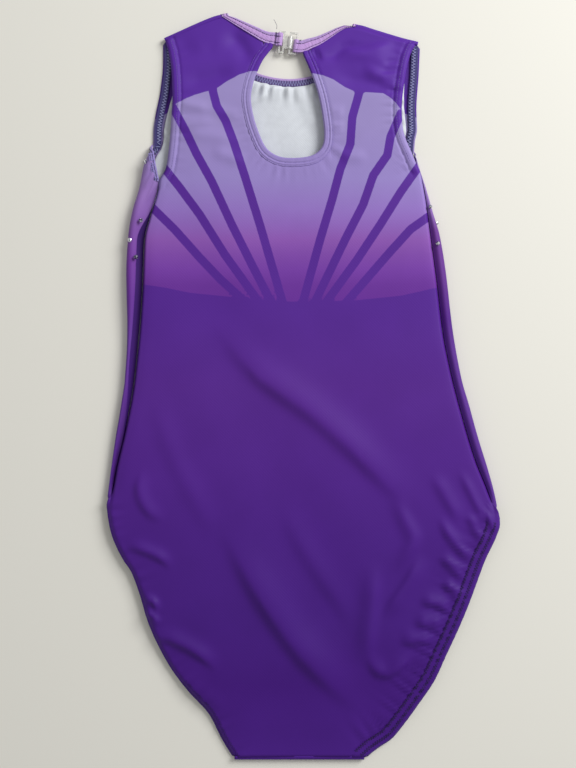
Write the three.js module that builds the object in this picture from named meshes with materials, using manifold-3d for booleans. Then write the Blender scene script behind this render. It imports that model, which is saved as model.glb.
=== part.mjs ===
// A sleeveless gymnastics leotard lying flat on its front, back side up, neck towards +Y.
// Millimetres, +Z up. The origin is on the resting surface under the middle of the garment.
import * as THREE from 'three';
import { mergeVertices } from 'three/addons/utils/BufferGeometryUtils.js';
import Module from 'manifold-3d';

const wasm = await Module();
wasm.setup();

// Driving dimensions
const bodyLength = 562;        // crotch fold to the top of the shoulders
const hipWidth = 296;          // across the top of the leg openings, laid flat
const loft = 9;                // height of the laid garment between chest and hip
const knit = 0.6;              // printed stretch knit
const liningKnit = 0.4;
const elasticThick = 0.5;
const elasticWidth = 5.6;
const hemWidth = 6.6;          // turned hem of an armhole or a leg opening
const neckBandWidth = 9.7;
const keyholeBandWidth = 6.6;
const bandFabric = 0.4;        // one layer of a folded binding
const layerGap = 0.3;          // air between neighbouring layers
const edgeInset = 0.8;         // free edge of a hem to its elastic
const seamWidth = 6;           // overlocked allowance inside a side seam
const seamThick = 0.8;
const seamSetIn = 1;           // seam line to its allowance
const seamRun = { left: 12, right: 28 };   // underarm to the start of the allowance
const stoneWidth = 3.5;
const stoneHeight = 1.4;
const stoneSeat = 0.3;         // glue between a stone's back and the cloth
const liningDepth = 430;       // shoulder line to the lower edge of the front lining
const gussetLength = 88;
const barDiameter = 1.6;       // bar of a clasp half
const claspArm = 1.2;
const claspThick = 1.6;
const claspPitch = 12.7;       // between the two bars
const catchReach = 4.8;        // socket's bar to its catch bar
const tongueWidth = 9;
const loopWall = 1.1;
const loopPlay = 1.95;         // how far each loop has slid along its bar
const tackWidth = 0.9;

// Sizes that follow from them
const hemDepth = knit + layerGap + elasticThick + layerGap + liningKnit;
const bandThick = 2 * (bandFabric + layerGap) + knit;
const foldHeight = 2 * hemDepth + 1.3 * layerGap;
const foldRadius = foldHeight / 2;
const loopHole = barDiameter / 2 + layerGap;
const loopRadius = loopHole + loopWall;
const claspClear = neckBandWidth / 2 + loopPlay + layerGap;

// The outlines are drafted for one size and graded to the driving dimensions
const draftLength = 562;
const draftHip = 296;
const lengthGrade = bodyLength / draftLength;
const widthGrade = hipWidth / draftHip;
const graded = (list) => list.map(([x, y]) => new THREE.Vector2(x * widthGrade, y * lengthGrade));

const silhouette = {
  left: graded([[-114.4, 177.4], [-119.3, 166.9], [-123, 149], [-128.3, 131], [-131.3, 113], [-132.8, 86],
    [-132, 42], [-133.9, 5], [-136.5, -13], [-141, -40], [-144.8, -67], [-147, -85], [-147.8, -96]]),
  right: graded([[84, 177.4], [86.5, 167], [92.3, 149], [97.5, 131], [102.8, 113], [107.3, 86],
    [112.5, 42], [119.3, 5], [124.5, -13], [132, -40], [140.3, -67], [144.8, -85], [147.8, -103]]),
};
const sideSeam = {
  left: graded([[-107.6, 155.5], [-109.5, 146], [-114.8, 128.6], [-119.3, 110], [-120.8, 72], [-126.8, 5],
    [-133.5, -32.6], [-140.5, -62.6], [-144.2, -85]]),
  right: graded([[85.2, 166], [88.5, 158.6], [91.9, 140], [94.5, 121], [100.5, 76], [105, 38.6],
    [110.3, 12.4], [117.8, -17.6], [129, -55], [138, -77.6], [142.8, -92]]),
};
const backArmhole = {
  left: graded([[-104.6, 262.4], [-100.7, 250], [-98.6, 236], [-97.7, 215], [-98.6, 201.4], [-99, 194],
    [-101.3, 171.4], [-102.9, 163], [-107.6, 155.5]]),
  right: graded([[86.9, 259.6], [82.7, 253.6], [79.4, 245], [77.3, 235.5], [75.6, 225.4], [74.3, 215.4],
    [73.9, 207.4], [74.6, 194], [77, 185], [81, 176], [85.2, 166]]),
};
const frontArmhole = {
  left: graded([[-105.5, 262.4], [-105.5, 245], [-107.6, 223], [-111, 206], [-113, 192.4], [-113.1, 183.4]]),
  right: graded([[88.5, 259.6], [87.4, 235.5], [85.7, 209], [86.2, 194], [84.6, 185], [84, 177.4]]),
};
const frontArmholeTop = {
  left: graded([[-112, 182], [-110.3, 169], [-108.6, 160], [-107.6, 155.5]]),
  right: graded([[84.4, 174], [85.2, 166]]),
};
const backLeg = {
  left: graded([[-147.4, -90], [-145.5, -103], [-143.3, -112], [-135, -130], [-129, -139], [-122.3, -157],
    [-117, -175], [-109.5, -193], [-99.8, -211], [-86.3, -229], [-70.5, -247], [-61.5, -265], [-55.5, -275],
    [-51.5, -281]]),
  right: graded([[147, -96], [147.4, -103], [144.8, -112], [136.5, -130], [129.8, -148], [123, -166],
    [115.5, -184], [107.3, -202], [99, -220], [87, -238], [74.3, -256], [67, -265], [54, -274], [46, -281]]),
};
const frontLeg = {
  left: graded([[-143.3, -93], [-122.3, -145], [-99.8, -194], [-75, -235], [-57, -268], [-50.5, -281]]),
  right: graded([[142.5, -100], [125, -138], [103, -182.6], [82, -227.6], [59, -265], [45, -281]]),
};
// The shoulder folds, from the neck out to the arm, and the middle of the neck
const shoulder = {
  left: graded([[-56.2, 281], [-65.9, 279.1], [-77.5, 274.6], [-92.2, 268], [-104.6, 262.4]]),
  right: graded([[37.1, 272.9], [44.5, 271.9], [54.5, 268.7], [74, 262.8], [86.9, 259.6]]),
};
const backNeckEdge = {
  left: graded([[-26.5, 266.9], [-34.2, 270.1], [-42.8, 273.8], [-50.6, 277.2]]),
  right: graded([[3.7, 261.6], [10.4, 263.3], [18.4, 266.6], [25.1, 269.6], [31, 271.6]]),
};
const frontNeckEdge = graded([[-55, 270], [-53.5, 259], [-48, 247], [-34.5, 236.5], [-10, 232], [14, 236.5],
  [29, 246], [34.5, 256], [36, 264]]);
const keyholeEdge = graded([[-24, 253.3], [-30, 245], [-34.5, 235], [-37.5, 226], [-39, 215], [-36.8, 201.4],
  [-32.3, 188], [-27, 178], [-18, 172.2], [-6, 171], [6.8, 172.9], [14, 179], [15.8, 188.6], [14.3, 203.6],
  [11.3, 218.6], [6.3, 234], [0.4, 248.5]]);
const claspCentre = graded([[-11.3, 258.4]])[0];
const claspTilt = THREE.MathUtils.degToRad(-6);
const stoneSpots = {
  left: graded([[-117.8, 168.4], [-121.1, 124.1], [-129.4, 109.5], [-124.9, 96.8]]),
  right: graded([[94.9, 134.6], [100.1, 122.6], [100.6, 106.9]]),
};
const sides = ['left', 'right'];
const outward = { left: -1, right: 1 };
const wrapTop = { left: 183.4 * lengthGrade, right: 177.4 * lengthGrade };
const wrapEnd = { left: -90 * lengthGrade, right: -97 * lengthGrade };
const wrapRun = 8;             // length of edge over which the front panel turns round its side fold
const crotchFold = -281 * lengthGrade;
const liningEnd = 281 * lengthGrade - liningDepth;

// Height of the laid garment at each place along its length
const rise = loft - foldHeight;
const loftAt = throughPoints([[foldHeight, 290], [foldHeight, 262], [foldHeight + 0.62 * rise, 238],
  [loft - 0.2, 215], [loft, 190], [loft, -100], [loft - 0.8, -180], [foldHeight + 0.3 * rise, -250],
  [foldHeight, -273], [foldHeight, -290]].map(([z, y]) => new THREE.Vector2(z, y * lengthGrade)));

// Piecewise cubic through points, x as a function of y, without overshoot
function throughPoints(points) {
  const list = [...points].sort((a, b) => a.y - b.y);
  const slope = list.map((p, i) => {
    if (i === 0 || i === list.length - 1) return null;
    const before = (p.x - list[i - 1].x) / (p.y - list[i - 1].y);
    const after = (list[i + 1].x - p.x) / (list[i + 1].y - p.y);
    return before * after <= 0 ? 0 : (2 * before * after) / (before + after);
  });
  const chord = (i) => (list[i + 1].x - list[i].x) / (list[i + 1].y - list[i].y);
  slope[0] = chord(0);
  slope[list.length - 1] = chord(list.length - 2);
  return (y) => {
    if (y <= list[0].y) return list[0].x;
    if (y >= list[list.length - 1].y) return list[list.length - 1].x;
    const i = list.findIndex((p, k) => k < list.length - 1 && y < list[k + 1].y);
    const span = list[i + 1].y - list[i].y;
    const t = (y - list[i].y) / span;
    const a = list[i].x;
    const b = list[i + 1].x;
    return a * (1 + 2 * t) * (1 - t) ** 2 + b * t * t * (3 - 2 * t)
      + span * slope[i] * t * (1 - t) ** 2 + span * slope[i + 1] * t * t * (t - 1);
  };
}

const ease = (t) => THREE.MathUtils.smoothstep(t, 0, 1);
const mid = (a, b, t) => a + (b - a) * t;

const at = {};
for (const side of sides) {
  at[side] = {
    silhouette: throughPoints(silhouette[side]),
    seam: throughPoints(sideSeam[side]),
    backArm: throughPoints(backArmhole[side]),
    frontArm: throughPoints(frontArmhole[side]),
    frontArmTop: throughPoints(frontArmholeTop[side]),
    backLeg: throughPoints(backLeg[side]),
    frontLeg: throughPoints(frontLeg[side]),
    tip: sideSeam[side][0].y,
    hip: backLeg[side][0].y,
  };
}

// How far the front panel is turned round its side fold at y: 0 lies flat, 1 is on top
function turned(side, y) {
  const arm = ease((wrapTop[side] - y) / wrapRun);
  const leg = ease((y - wrapEnd[side]) / wrapRun);
  return Math.min(arm, leg);
}

// Distance from the middle line to the outermost line of the side fold
function foldAt(side, y) {
  const edge = y > 0 ? at[side].frontArm(y) : at[side].frontLeg(y);
  const flat = outward[side] * edge + loftAt(y) / 2;
  return mid(flat, outward[side] * at[side].silhouette(y), turned(side, y));
}

// Where the front panel ends, measured along its own outer surface from the middle line
function reach(side, y) {
  const r = loftAt(y) / 2;
  const fold = foldAt(side, y);
  const edge = outward[side] * (y > 0 ? at[side].frontArm(y) : at[side].frontLeg(y));
  const top = outward[side] * (y > at[side].tip ? at[side].frontArmTop(y) : at[side].seam(y));
  const flat = fold - r;
  const lean = Math.min(1, Math.max(0, (top + layerGap - flat) / r));
  const over = Math.max(0, flat - top - layerGap);
  return mid(edge, flat + r * (Math.PI - Math.asin(lean)) + over, turned(side, y));
}

// A place on the front panel's outer surface, s along it from the middle line
function frontPlace(side, y, s) {
  const r = loftAt(y) / 2;
  const flat = foldAt(side, y) - r;
  const sign = outward[side];
  if (s <= flat) return { o: new THREE.Vector3(sign * s, y, 0), n: new THREE.Vector3(0, 0, -1) };
  const angle = Math.min(Math.PI, (s - flat) / r);
  const past = Math.max(0, s - flat - Math.PI * r);
  const n = new THREE.Vector3(sign * Math.sin(angle), 0, -Math.cos(angle));
  return { o: new THREE.Vector3(sign * (flat + r * Math.sin(angle) - past), y, r - r * Math.cos(angle)), n };
}

// Closed mesh from outer and inner grids of points, rows of equal length
function shell(outer, inner) {
  const rows = outer.length;
  const cols = outer[0].length;
  const points = [...outer.flat(), ...inner.flat()];
  const index = [];
  const quad = (a, b, c, d) => index.push(a, b, c, a, c, d);
  const back = rows * cols;
  for (let i = 0; i < rows - 1; i += 1) {
    for (let j = 0; j < cols - 1; j += 1) {
      const a = i * cols + j;
      quad(a, a + 1, a + cols + 1, a + cols);
      quad(back + a, back + a + cols, back + a + cols + 1, back + a + 1);
    }
    quad(i * cols, (i + 1) * cols, back + (i + 1) * cols, back + i * cols);
    const e = i * cols + cols - 1;
    quad(e, back + e, back + e + cols, e + cols);
  }
  for (let j = 0; j < cols - 1; j += 1) {
    quad(j, back + j, back + j + 1, j + 1);
    const e = (rows - 1) * cols + j;
    quad(e, e + 1, back + e + 1, back + e);
  }
  return facingOut(points, index);
}

// Section carried along stations: profile points (across, depth) from each station's o, w and n
function carried(stations, profile, closed = false) {
  const count = profile.length;
  const points = stations.flatMap(({ o, w, n }) => profile.map(([across, depth]) => o.clone()
    .addScaledVector(w, across).addScaledVector(n, -depth)));
  const index = [];
  const laps = closed ? stations.length : stations.length - 1;
  for (let i = 0; i < laps; i += 1) {
    const next = (i + 1) % stations.length;
    for (let j = 0; j < count; j += 1) {
      const k = (j + 1) % count;
      index.push(i * count + j, i * count + k, next * count + k);
      index.push(i * count + j, next * count + k, next * count + j);
    }
  }
  if (!closed) {
    const flat = profile.map(([x, y]) => new THREE.Vector2(x, y));
    const last = (stations.length - 1) * count;
    const clockwise = THREE.ShapeUtils.isClockWise(flat);
    for (const [a, b, c] of THREE.ShapeUtils.triangulateShape(flat, [])) {
      if (clockwise) index.push(a, b, c, last + a, last + c, last + b);
      else index.push(a, c, b, last + a, last + b, last + c);
    }
  }
  return facingOut(points, index);
}

// Geometry from points and triangles, turned inside out if its volume comes out negative
function facingOut(points, index) {
  let volume = 0;
  for (let i = 0; i < index.length; i += 3) {
    const [a, b, c] = [points[index[i]], points[index[i + 1]], points[index[i + 2]]];
    volume += a.dot(b.clone().cross(c));
  }
  if (volume < 0) {
    for (let i = 0; i < index.length; i += 3) [index[i + 1], index[i + 2]] = [index[i + 2], index[i + 1]];
  }
  const geometry = new THREE.BufferGeometry().setFromPoints(points);
  geometry.setIndex(index);
  return geometry;
}

function solid(geometry) {
  const bare = geometry.clone();
  bare.deleteAttribute('normal');
  bare.deleteAttribute('uv');
  const merged = mergeVertices(bare, 1e-4);
  return new wasm.Manifold(new wasm.Mesh({
    numProp: 3,
    vertProperties: new Float32Array(merged.attributes.position.array),
    triVerts: new Uint32Array(merged.index.array),
  }));
}

function geometryOf(manifold) {
  const { vertProperties, triVerts } = manifold.getMesh();
  const geometry = new THREE.BufferGeometry();
  geometry.setAttribute('position', new THREE.BufferAttribute(vertProperties, 3));
  geometry.setIndex(new THREE.BufferAttribute(triVerts, 1));
  return geometry;
}

// Flat plate of a plan outline between two heights
function plate(outline, low, high) {
  const geometry = new THREE.ExtrudeGeometry(new THREE.Shape(outline), { depth: high - low, bevelEnabled: false });
  return geometry.translate(0, 0, low);
}

const spline = (points, steps) => new THREE.SplineCurve(points).getPoints(steps);

// Curve moved sideways by distance, to the left of its direction when distance is positive
function aside(points, distance) {
  return points.map((p, i) => {
    const before = points[Math.max(0, i - 1)];
    const after = points[Math.min(points.length - 1, i + 1)];
    const along = after.clone().sub(before).normalize();
    return new THREE.Vector2(p.x - along.y * distance, p.y + along.x * distance);
  });
}

const leotard = new THREE.Group();
function add(name, geometry, { color, roughness = 0.75, metalness = 0, opacity = 1 }) {
  const material = new THREE.MeshStandardMaterial({ color, roughness, metalness, opacity, transparent: opacity < 1 });
  const mesh = new THREE.Mesh(geometry, material);
  mesh.name = name;
  leotard.add(mesh);
}

const violet = { color: 0x55308a };
const magenta = { color: 0x6a3a9a };
const lilac = { color: 0xbe9bdc };
const lavender = { color: 0x9689be };
const darkViolet = { color: 0x33295f };
const white = { color: 0xd3dbe6 };
const rubberWhite = { color: 0xe6e3da, roughness: 0.9 };
const thread = { color: 0x2a0748, roughness: 0.85 };
const clear = { color: 0xe6e6e0, roughness: 0.12, opacity: 0.45 };
const crystal = { color: 0xdfe4f2, roughness: 0.05 };

// Line on which the panels end at a shoulder fold, from the neck out to the arm
const seamLine = (side) => aside(spline(shoulder[side], 12), -outward[side] * (foldRadius + 2 * layerGap));
const seamLineAt = { left: seamLine('left'), right: seamLine('right') };
const far = 40;                // well past the outline

// Line on which the back panel ends at the neck binding, from the clasp out to the shoulder
function backBandInner(side) {
  const { p, w, over } = neckCorner(side);
  const clear = neckBandWidth + layerGap;
  const corner = p.clone().addScaledVector(w, clear).addScaledVector(over, -foldRadius - 2 * layerGap);
  const line = backNeckStations(side).reverse().map((station) => station.o.clone().addScaledVector(station.w, clear));
  return [...line, corner].map((point) => new THREE.Vector2(point.x, point.y));
}

// The neck binding's free corner on a shoulder fold, with the fold's direction and its outside
function neckCorner(side) {
  const [p, q] = shoulder[side];
  const w = new THREE.Vector3(q.x - p.x, q.y - p.y, 0).normalize();
  const over = new THREE.Vector3(-w.y, w.x, 0).multiplyScalar(outward[side]);
  return { p: new THREE.Vector3(p.x, p.y, 0), w, over };
}

// Everything of the back panel above this line is cut away: shoulders, neck and keyhole
function backTopCut() {
  const keyhole = aside(spline(keyholeEdge, 48), -(keyholeBandWidth + layerGap));
  const leftBand = backBandInner('left').filter((p) => p.x < keyhole[0].x - layerGap);
  const rightBand = backBandInner('right').filter((p) => p.x > keyhole[keyhole.length - 1].x + layerGap);
  const leftSeam = seamLineAt.left.filter((p) => p.x < leftBand[leftBand.length - 1].x);
  const rightSeam = seamLineAt.right.filter((p) => p.x > rightBand[rightBand.length - 1].x);
  const armLeft = leftSeam[leftSeam.length - 1];
  const armRight = rightSeam[rightSeam.length - 1];
  return [
    new THREE.Vector2(armLeft.x - far, armLeft.y - far * 0.2),
    ...leftSeam.reverse(), ...leftBand.reverse(), ...keyhole, ...rightBand, ...rightSeam,
    new THREE.Vector2(armRight.x + far, armRight.y - far * 0.2),
    new THREE.Vector2(armRight.x + far, armRight.y + 2 * far),
    new THREE.Vector2(armLeft.x - far, armRight.y + 2 * far),
  ];
}

// The same for the front panel or its lining, set back from the neck's free edge and the shoulder folds
function frontTopCut(fromNeck, fromFold) {
  const corner = {};
  const seam = {};
  for (const side of sides) {
    const { p, w, over } = neckCorner(side);
    corner[side] = p.clone().addScaledVector(w, fromNeck).addScaledVector(over, -fromFold);
    seam[side] = aside(spline(shoulder[side], 12), -outward[side] * fromFold)
      .filter((q) => outward[side] * (q.x - corner[side].x) > layerGap);
  }
  const neck = frontNeckStations().map((station) => station.o.clone().addScaledVector(station.w, fromNeck));
  const armLeft = seam.left[seam.left.length - 1];
  const armRight = seam.right[seam.right.length - 1];
  return [
    new THREE.Vector2(armLeft.x - far, armLeft.y - far * 0.2),
    ...seam.left.reverse(),
    ...[corner.left, ...neck, corner.right].map((q) => new THREE.Vector2(q.x, q.y)),
    ...seam.right,
    new THREE.Vector2(armRight.x + far, armRight.y - far * 0.2),
    new THREE.Vector2(armRight.x + far, armRight.y + 2 * far),
    new THREE.Vector2(armLeft.x - far, armRight.y + 2 * far),
  ];
}

const panelTop = 284 * lengthGrade;
const panelEnd = crotchFold + foldRadius + layerGap;

// Rows along the length, closer where the edges turn
function rowsFrom(high, low, pitch) {
  const rows = [];
  for (let y = high; y > low + 0.5;) {
    rows.push(y);
    const turning = sides.some((side) => (y < wrapTop[side] + 3 && y > wrapTop[side] - wrapRun - 1)
      || (y < wrapEnd[side] + wrapRun + 3 && y > wrapEnd[side] - 1));
    y -= turning ? 2.2 : pitch;
  }
  rows.push(low);
  return rows;
}

function frontPanel() {
  const outer = [];
  const inner = [];
  for (const y of rowsFrom(panelTop, panelEnd, 15)) {
    const outerRow = [];
    const innerRow = [];
    for (const side of sides) {
      const total = reach(side, y);
      const flat = foldAt(side, y) - loftAt(y) / 2;
      const a = Math.min(flat, 0.8 * total);
      const b = Math.min(flat + (Math.PI * loftAt(y)) / 2, 0.95 * total);
      const steps = [];
      for (let k = 1; k <= 6; k += 1) steps.push(mid(a, b, k / 6));
      const s = [a, ...steps, total];
      const places = s.map((value) => frontPlace(side, y, value));
      if (side === 'left') places.reverse();
      outerRow.push(...places.map(({ o }) => o));
      innerRow.push(...places.map(({ o, n }) => o.clone().addScaledVector(n, -knit)));
    }
    outer.push(outerRow);
    inner.push(innerRow);
  }
  const cut = plate(frontTopCut(neckBandWidth + layerGap, foldRadius + 2 * layerGap), -1, knit + 1);
  return geometryOf(solid(shell(outer, inner)).subtract(solid(cut)));
}

function backEdge(side, y) {
  if (y > at[side].tip) return at[side].backArm(y);
  if (y > at[side].hip) return at[side].seam(y) - outward[side] * layerGap;
  return at[side].backLeg(y);
}

function backPanel() {
  const outer = [];
  const inner = [];
  for (const y of rowsFrom(panelTop, panelEnd, 6)) {
    const x = sides.map((side) => backEdge(side, y));
    const across = [0, 0.5, 1].map((t) => mid(x[0], x[1], t));
    outer.push(across.map((value) => new THREE.Vector3(value, y, loftAt(y))));
    inner.push(across.map((value) => new THREE.Vector3(value, y, loftAt(y) - knit)));
  }
  const cut = plate(backTopCut(), foldHeight - 2 * knit, loft + 1);
  return geometryOf(solid(shell(outer, inner)).subtract(solid(cut)));
}

const liningLow = knit + layerGap;
const liningInset = edgeInset + hemWidth + 2 * layerGap;
const liningClear = 1.6;       // lining to the start of a side fold
const liningFromFold = 4;      // lining to a shoulder fold
function frontLining() {
  const y = [];
  for (let v = panelTop; v > liningEnd; v -= 12) y.push(v);
  y.push(liningEnd);
  const edge = (side) => y.map((v) => {
    const open = outward[side] * (v > 0 ? at[side].frontArm(v) : at[side].frontLeg(v)) - liningInset;
    const wrapped = foldAt(side, v) - loftAt(v) / 2 - liningClear;
    return new THREE.Vector2(outward[side] * Math.min(mid(open, wrapped, turned(side, v)), wrapped), v);
  });
  const outline = [...edge('left'), ...edge('right').reverse()];
  const cut = plate(frontTopCut(neckBandWidth + 2 * layerGap, foldRadius + liningFromFold), 0, 2 * liningLow);
  return geometryOf(solid(plate(outline, liningLow, liningLow + liningKnit)).subtract(solid(cut)));
}

function crotchLining() {
  const end = panelEnd + layerGap;
  const y = Array.from({ length: 12 }, (_, k) => mid(end + gussetLength, end, k / 11));
  const edge = (side) => aside(y.map((v) => new THREE.Vector2(at[side].frontLeg(v), v)), -outward[side] * liningInset)
    .filter((p) => p.y > end && p.y < end + gussetLength);
  return plate([...edge('left'), ...edge('right').reverse()], liningLow, liningLow + liningKnit);
}

// Stations on an edge curve of plan points: o on the outer surface, w into the panel, n outward
const up = new THREE.Vector3(0, 0, 1);
function edgeStations(points, height, n, inwardSign) {
  return points.map((p, i) => {
    const before = points[Math.max(0, i - 1)];
    const after = points[Math.min(points.length - 1, i + 1)];
    const along = after.clone().sub(before).normalize();
    const w = new THREE.Vector3(-along.y * inwardSign, along.x * inwardSign, 0);
    w.z = height(p.y + w.y) - height(p.y);
    return { o: new THREE.Vector3(p.x, p.y, height(p.y)), w, n: n.clone() };
  });
}

// Half turn over a fold: from the top layer to the bottom one, out along the direction over
function foldStations(p, w, over, steps) {
  const centre = new THREE.Vector3(p.x, p.y, foldRadius).addScaledVector(over, -foldRadius);
  return Array.from({ length: steps + 1 }, (_, k) => {
    const angle = (Math.PI * k) / steps;
    const n = up.clone().multiplyScalar(Math.cos(angle)).addScaledVector(over, Math.sin(angle));
    return { o: centre.clone().addScaledVector(n, foldRadius), w: w.clone(), n };
  });
}

// Front panel's own edge as stations, y running from one place to another
function wrapStations(side, from, to, steps) {
  const place = (t) => {
    const y = mid(from, to, t);
    return frontPlace(side, y, reach(side, y));
  };
  return Array.from({ length: steps + 1 }, (_, k) => {
    const t = k / steps;
    const y = mid(from, to, t);
    const { o, n } = place(t);
    const along = place(t + 0.01).o.sub(place(t - 0.01).o).normalize();
    const w = n.clone().cross(along).normalize();
    const inner = frontPlace(side, y, reach(side, y) - 0.5).o.sub(o);
    if (w.dot(inner) < 0) w.negate();
    return { o, w, n };
  });
}

function shoulderEnd(side) {
  const end = shoulder[side][shoulder[side].length - 1];
  const before = shoulder[side][shoulder[side].length - 2];
  const w = new THREE.Vector3(before.x - end.x, before.y - end.y, 0).normalize();
  return { end, w, over: new THREE.Vector3(w.y, -w.x, 0).multiplyScalar(outward[side]) };
}

// Stations round an armhole, up the back edge, over the shoulder and down the front; its ends
// meet at the underarm, where the side fold starts
function armholeLoop(side) {
  const { end, w, over } = shoulderEnd(side);
  const start = end.y - foldRadius - 1.5;
  const backPoints = Array.from({ length: 13 }, (_, k) => {
    const y = mid(at[side].tip + hemWidth, start, k / 12);
    return new THREE.Vector2(at[side].backArm(y), y);
  });
  const back = edgeStations(backPoints, loftAt, up, outward[side]);
  const front = wrapStations(side, start, wrapTop[side] + hemWidth, 12);
  return [...back, ...foldStations(end, w, over, 4), ...front];
}

// Stations round a leg opening, down the back edge, over the crotch and up the front; its ends
// meet at the hip, where the side fold ends
function legLoop(side) {
  const low = crotchFold + foldRadius + 1;
  const backPoints = Array.from({ length: 17 }, (_, k) => {
    const y = mid(at[side].hip - 1, low, (k / 16) ** 1.2);
    return new THREE.Vector2(at[side].backLeg(y), y);
  });
  const back = edgeStations(backPoints, loftAt, up, -outward[side]);
  const corner = new THREE.Vector2(at[side].backLeg(crotchFold), crotchFold);
  const fold = foldStations(corner, new THREE.Vector3(-outward[side], 0, 0), new THREE.Vector3(0, -1, 0), 4);
  const front = wrapStations(side, low, wrapEnd[side] - hemWidth / 2, 14);
  return [...back, ...fold, ...front];
}

// Half-round shell over a fold of the garment, along a line of plan points
function foldSeam(points, outSign) {
  const stations = edgeStations(points, () => foldRadius, up.clone().negate(), outSign);
  for (const station of stations) station.o.addScaledVector(station.w, -foldRadius);
  const arc = (radius, k) => [radius * Math.cos((Math.PI * k) / 8), radius * Math.sin((Math.PI * k) / 8)];
  const turns = [-4, -3, -2, -1, 0, 1, 2, 3, 4];
  const outer = turns.map((k) => arc(foldRadius, k));
  const inner = turns.reverse().map((k) => arc(foldRadius - knit, k));
  return carried(stations, [...outer, ...inner]);
}

function shoulderSeam(side) {
  const curve = new THREE.SplineCurve(shoulder[side]);
  const skip = (neckBandWidth + 2 * layerGap) / curve.getLength();
  const points = Array.from({ length: 9 }, (_, k) => curve.getPointAt(mid(skip, 1, k / 8)));
  return foldSeam(points, outward[side]);
}

function crotchSeam() {
  const ends = sides.map((side) => at[side].backLeg(crotchFold));
  const points = [0, 1].map((t) => new THREE.Vector2(mid(ends[0], ends[1], t), crotchFold));
  return foldSeam(points, -1);
}

// Overlocked allowance of a side seam, lying inside the back panel next to the seam
function sideSeamStrip(side) {
  const top = at[side].tip - seamRun[side];
  const bottom = at[side].hip + 22;
  const points = Array.from({ length: 12 }, (_, k) => {
    const y = mid(top, bottom, k / 11);
    return new THREE.Vector2(at[side].seam(y), y);
  });
  const stations = edgeStations(points, loftAt, up, -outward[side]);
  const under = knit + layerGap;
  return carried(stations, band(seamSetIn, seamSetIn + seamWidth, under, under + seamThick));
}

// Clasp frame: a runs from the hook's bar to the socket's, b along the bars
const claspZ = loftAt(claspCentre.y) - bandThick / 2;
const alongA = new THREE.Vector2(Math.cos(claspTilt), Math.sin(claspTilt));
const alongB = new THREE.Vector2(-alongA.y, alongA.x);
const claspPoint = (a, b) => claspCentre.clone().addScaledVector(alongA, a).addScaledVector(alongB, b);
const barAt = { left: -claspPitch / 2, right: claspPitch / 2 };
const catchAt = barAt.right - catchReach;
const halfBar = claspClear + claspArm;

// Free edge of the back neck, from the shoulder to the fabric loop round the clasp's bar
function backNeckStations(side) {
  const loopEdge = barAt[side] + outward[side] * (loopHole + loopWall / 2);
  const last = claspPoint(loopEdge, -outward[side] * loopPlay + neckBandWidth / 2);
  const before = claspPoint(loopEdge + outward[side] * 2, -outward[side] * loopPlay + neckBandWidth / 2);
  const points = spline([last, before, ...backNeckEdge[side]], 10);
  const stations = edgeStations(points, loftAt, up, -outward[side]);
  const down = new THREE.Vector3(-alongB.x, -alongB.y, 0);
  stations[0].w = down.clone();
  stations[1].w = down.clone().lerp(stations[1].w, 0.4).normalize();
  return stations.reverse();
}

const frontNeckStations = () => edgeStations(spline(frontNeckEdge, 22), () => 0, up.clone().negate(), -1);

// The whole neck binding: back left, over the shoulder, the front neckline, over, back right
function neckStations() {
  const fold = {};
  for (const side of sides) {
    const { p, w, over } = neckCorner(side);
    fold[side] = foldStations(p, w, over, 6);
  }
  return [...backNeckStations('left').reverse(), ...fold.left, ...frontNeckStations(), ...fold.right.reverse(),
    ...backNeckStations('right')];
}

// Folded binding, open towards the panel
const binding = (width) => [[0, 0], [width, 0], [width, bandFabric], [bandFabric, bandFabric],
  [bandFabric, bandThick - bandFabric], [width, bandThick - bandFabric], [width, bandThick], [0, bandThick]];
const bindingElastic = () => band(bandFabric + layerGap, bandFabric + layerGap + elasticWidth,
  (bandThick - elasticThick) / 2, (bandThick + elasticThick) / 2);

// Round bar along b, centred at a
function claspBar(a, radius, length, shift = 0) {
  return new THREE.CylinderGeometry(radius, radius, length, 16).translate(a, shift, 0);
}

function inPlace(manifold) {
  return geometryOf(manifold).rotateZ(claspTilt).translate(claspCentre.x, claspCentre.y, claspZ);
}

function neckBinding() {
  let all = solid(carried(neckStations(), binding(neckBandWidth)));
  for (const side of sides) {
    const shift = -outward[side] * loopPlay;
    const place = (geometry) => geometry.rotateZ(claspTilt).translate(claspCentre.x, claspCentre.y, claspZ);
    all = all.add(solid(place(claspBar(barAt[side], loopRadius, neckBandWidth, shift))));
    all = all.subtract(solid(place(claspBar(barAt[side], loopHole, 2 * halfBar))));
  }
  return geometryOf(all);
}

function claspArms(from, to) {
  const arm = (sign) => solid(new THREE.BoxGeometry(to - from, claspArm, claspThick)
    .translate((from + to) / 2, sign * (claspClear + claspArm / 2), 0));
  return arm(1).add(arm(-1));
}

function claspHook() {
  const half = claspThick / 2;
  const cross = barAt.left + loopRadius + 0.5;
  const inner = barDiameter / 2 + layerGap;
  const outer = inner + 1;
  const start = Math.asin(half / outer);
  const profile = new THREE.Shape();
  profile.moveTo(cross, -half);
  profile.lineTo(catchAt - inner, -half);
  profile.lineTo(catchAt - inner, 0);
  profile.absarc(catchAt, 0, inner, Math.PI, 0, true);
  profile.lineTo(catchAt + inner, -half);
  profile.lineTo(catchAt + outer, -half);
  profile.absarc(catchAt, 0, outer, 0, Math.PI - start, false);
  profile.lineTo(cross, half);
  const tongue = new THREE.ExtrudeGeometry(profile, { depth: tongueWidth, bevelEnabled: false, curveSegments: 8 })
    .rotateX(Math.PI / 2).translate(0, tongueWidth / 2, 0);
  const crossbar = new THREE.BoxGeometry(claspArm, 2 * halfBar, claspThick).translate(cross + claspArm / 2, 0, 0);
  return inPlace(solid(claspBar(barAt.left, barDiameter / 2, 2 * halfBar))
    .add(claspArms(barAt.left, cross + claspArm)).add(solid(crossbar)).add(solid(tongue)));
}

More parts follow.
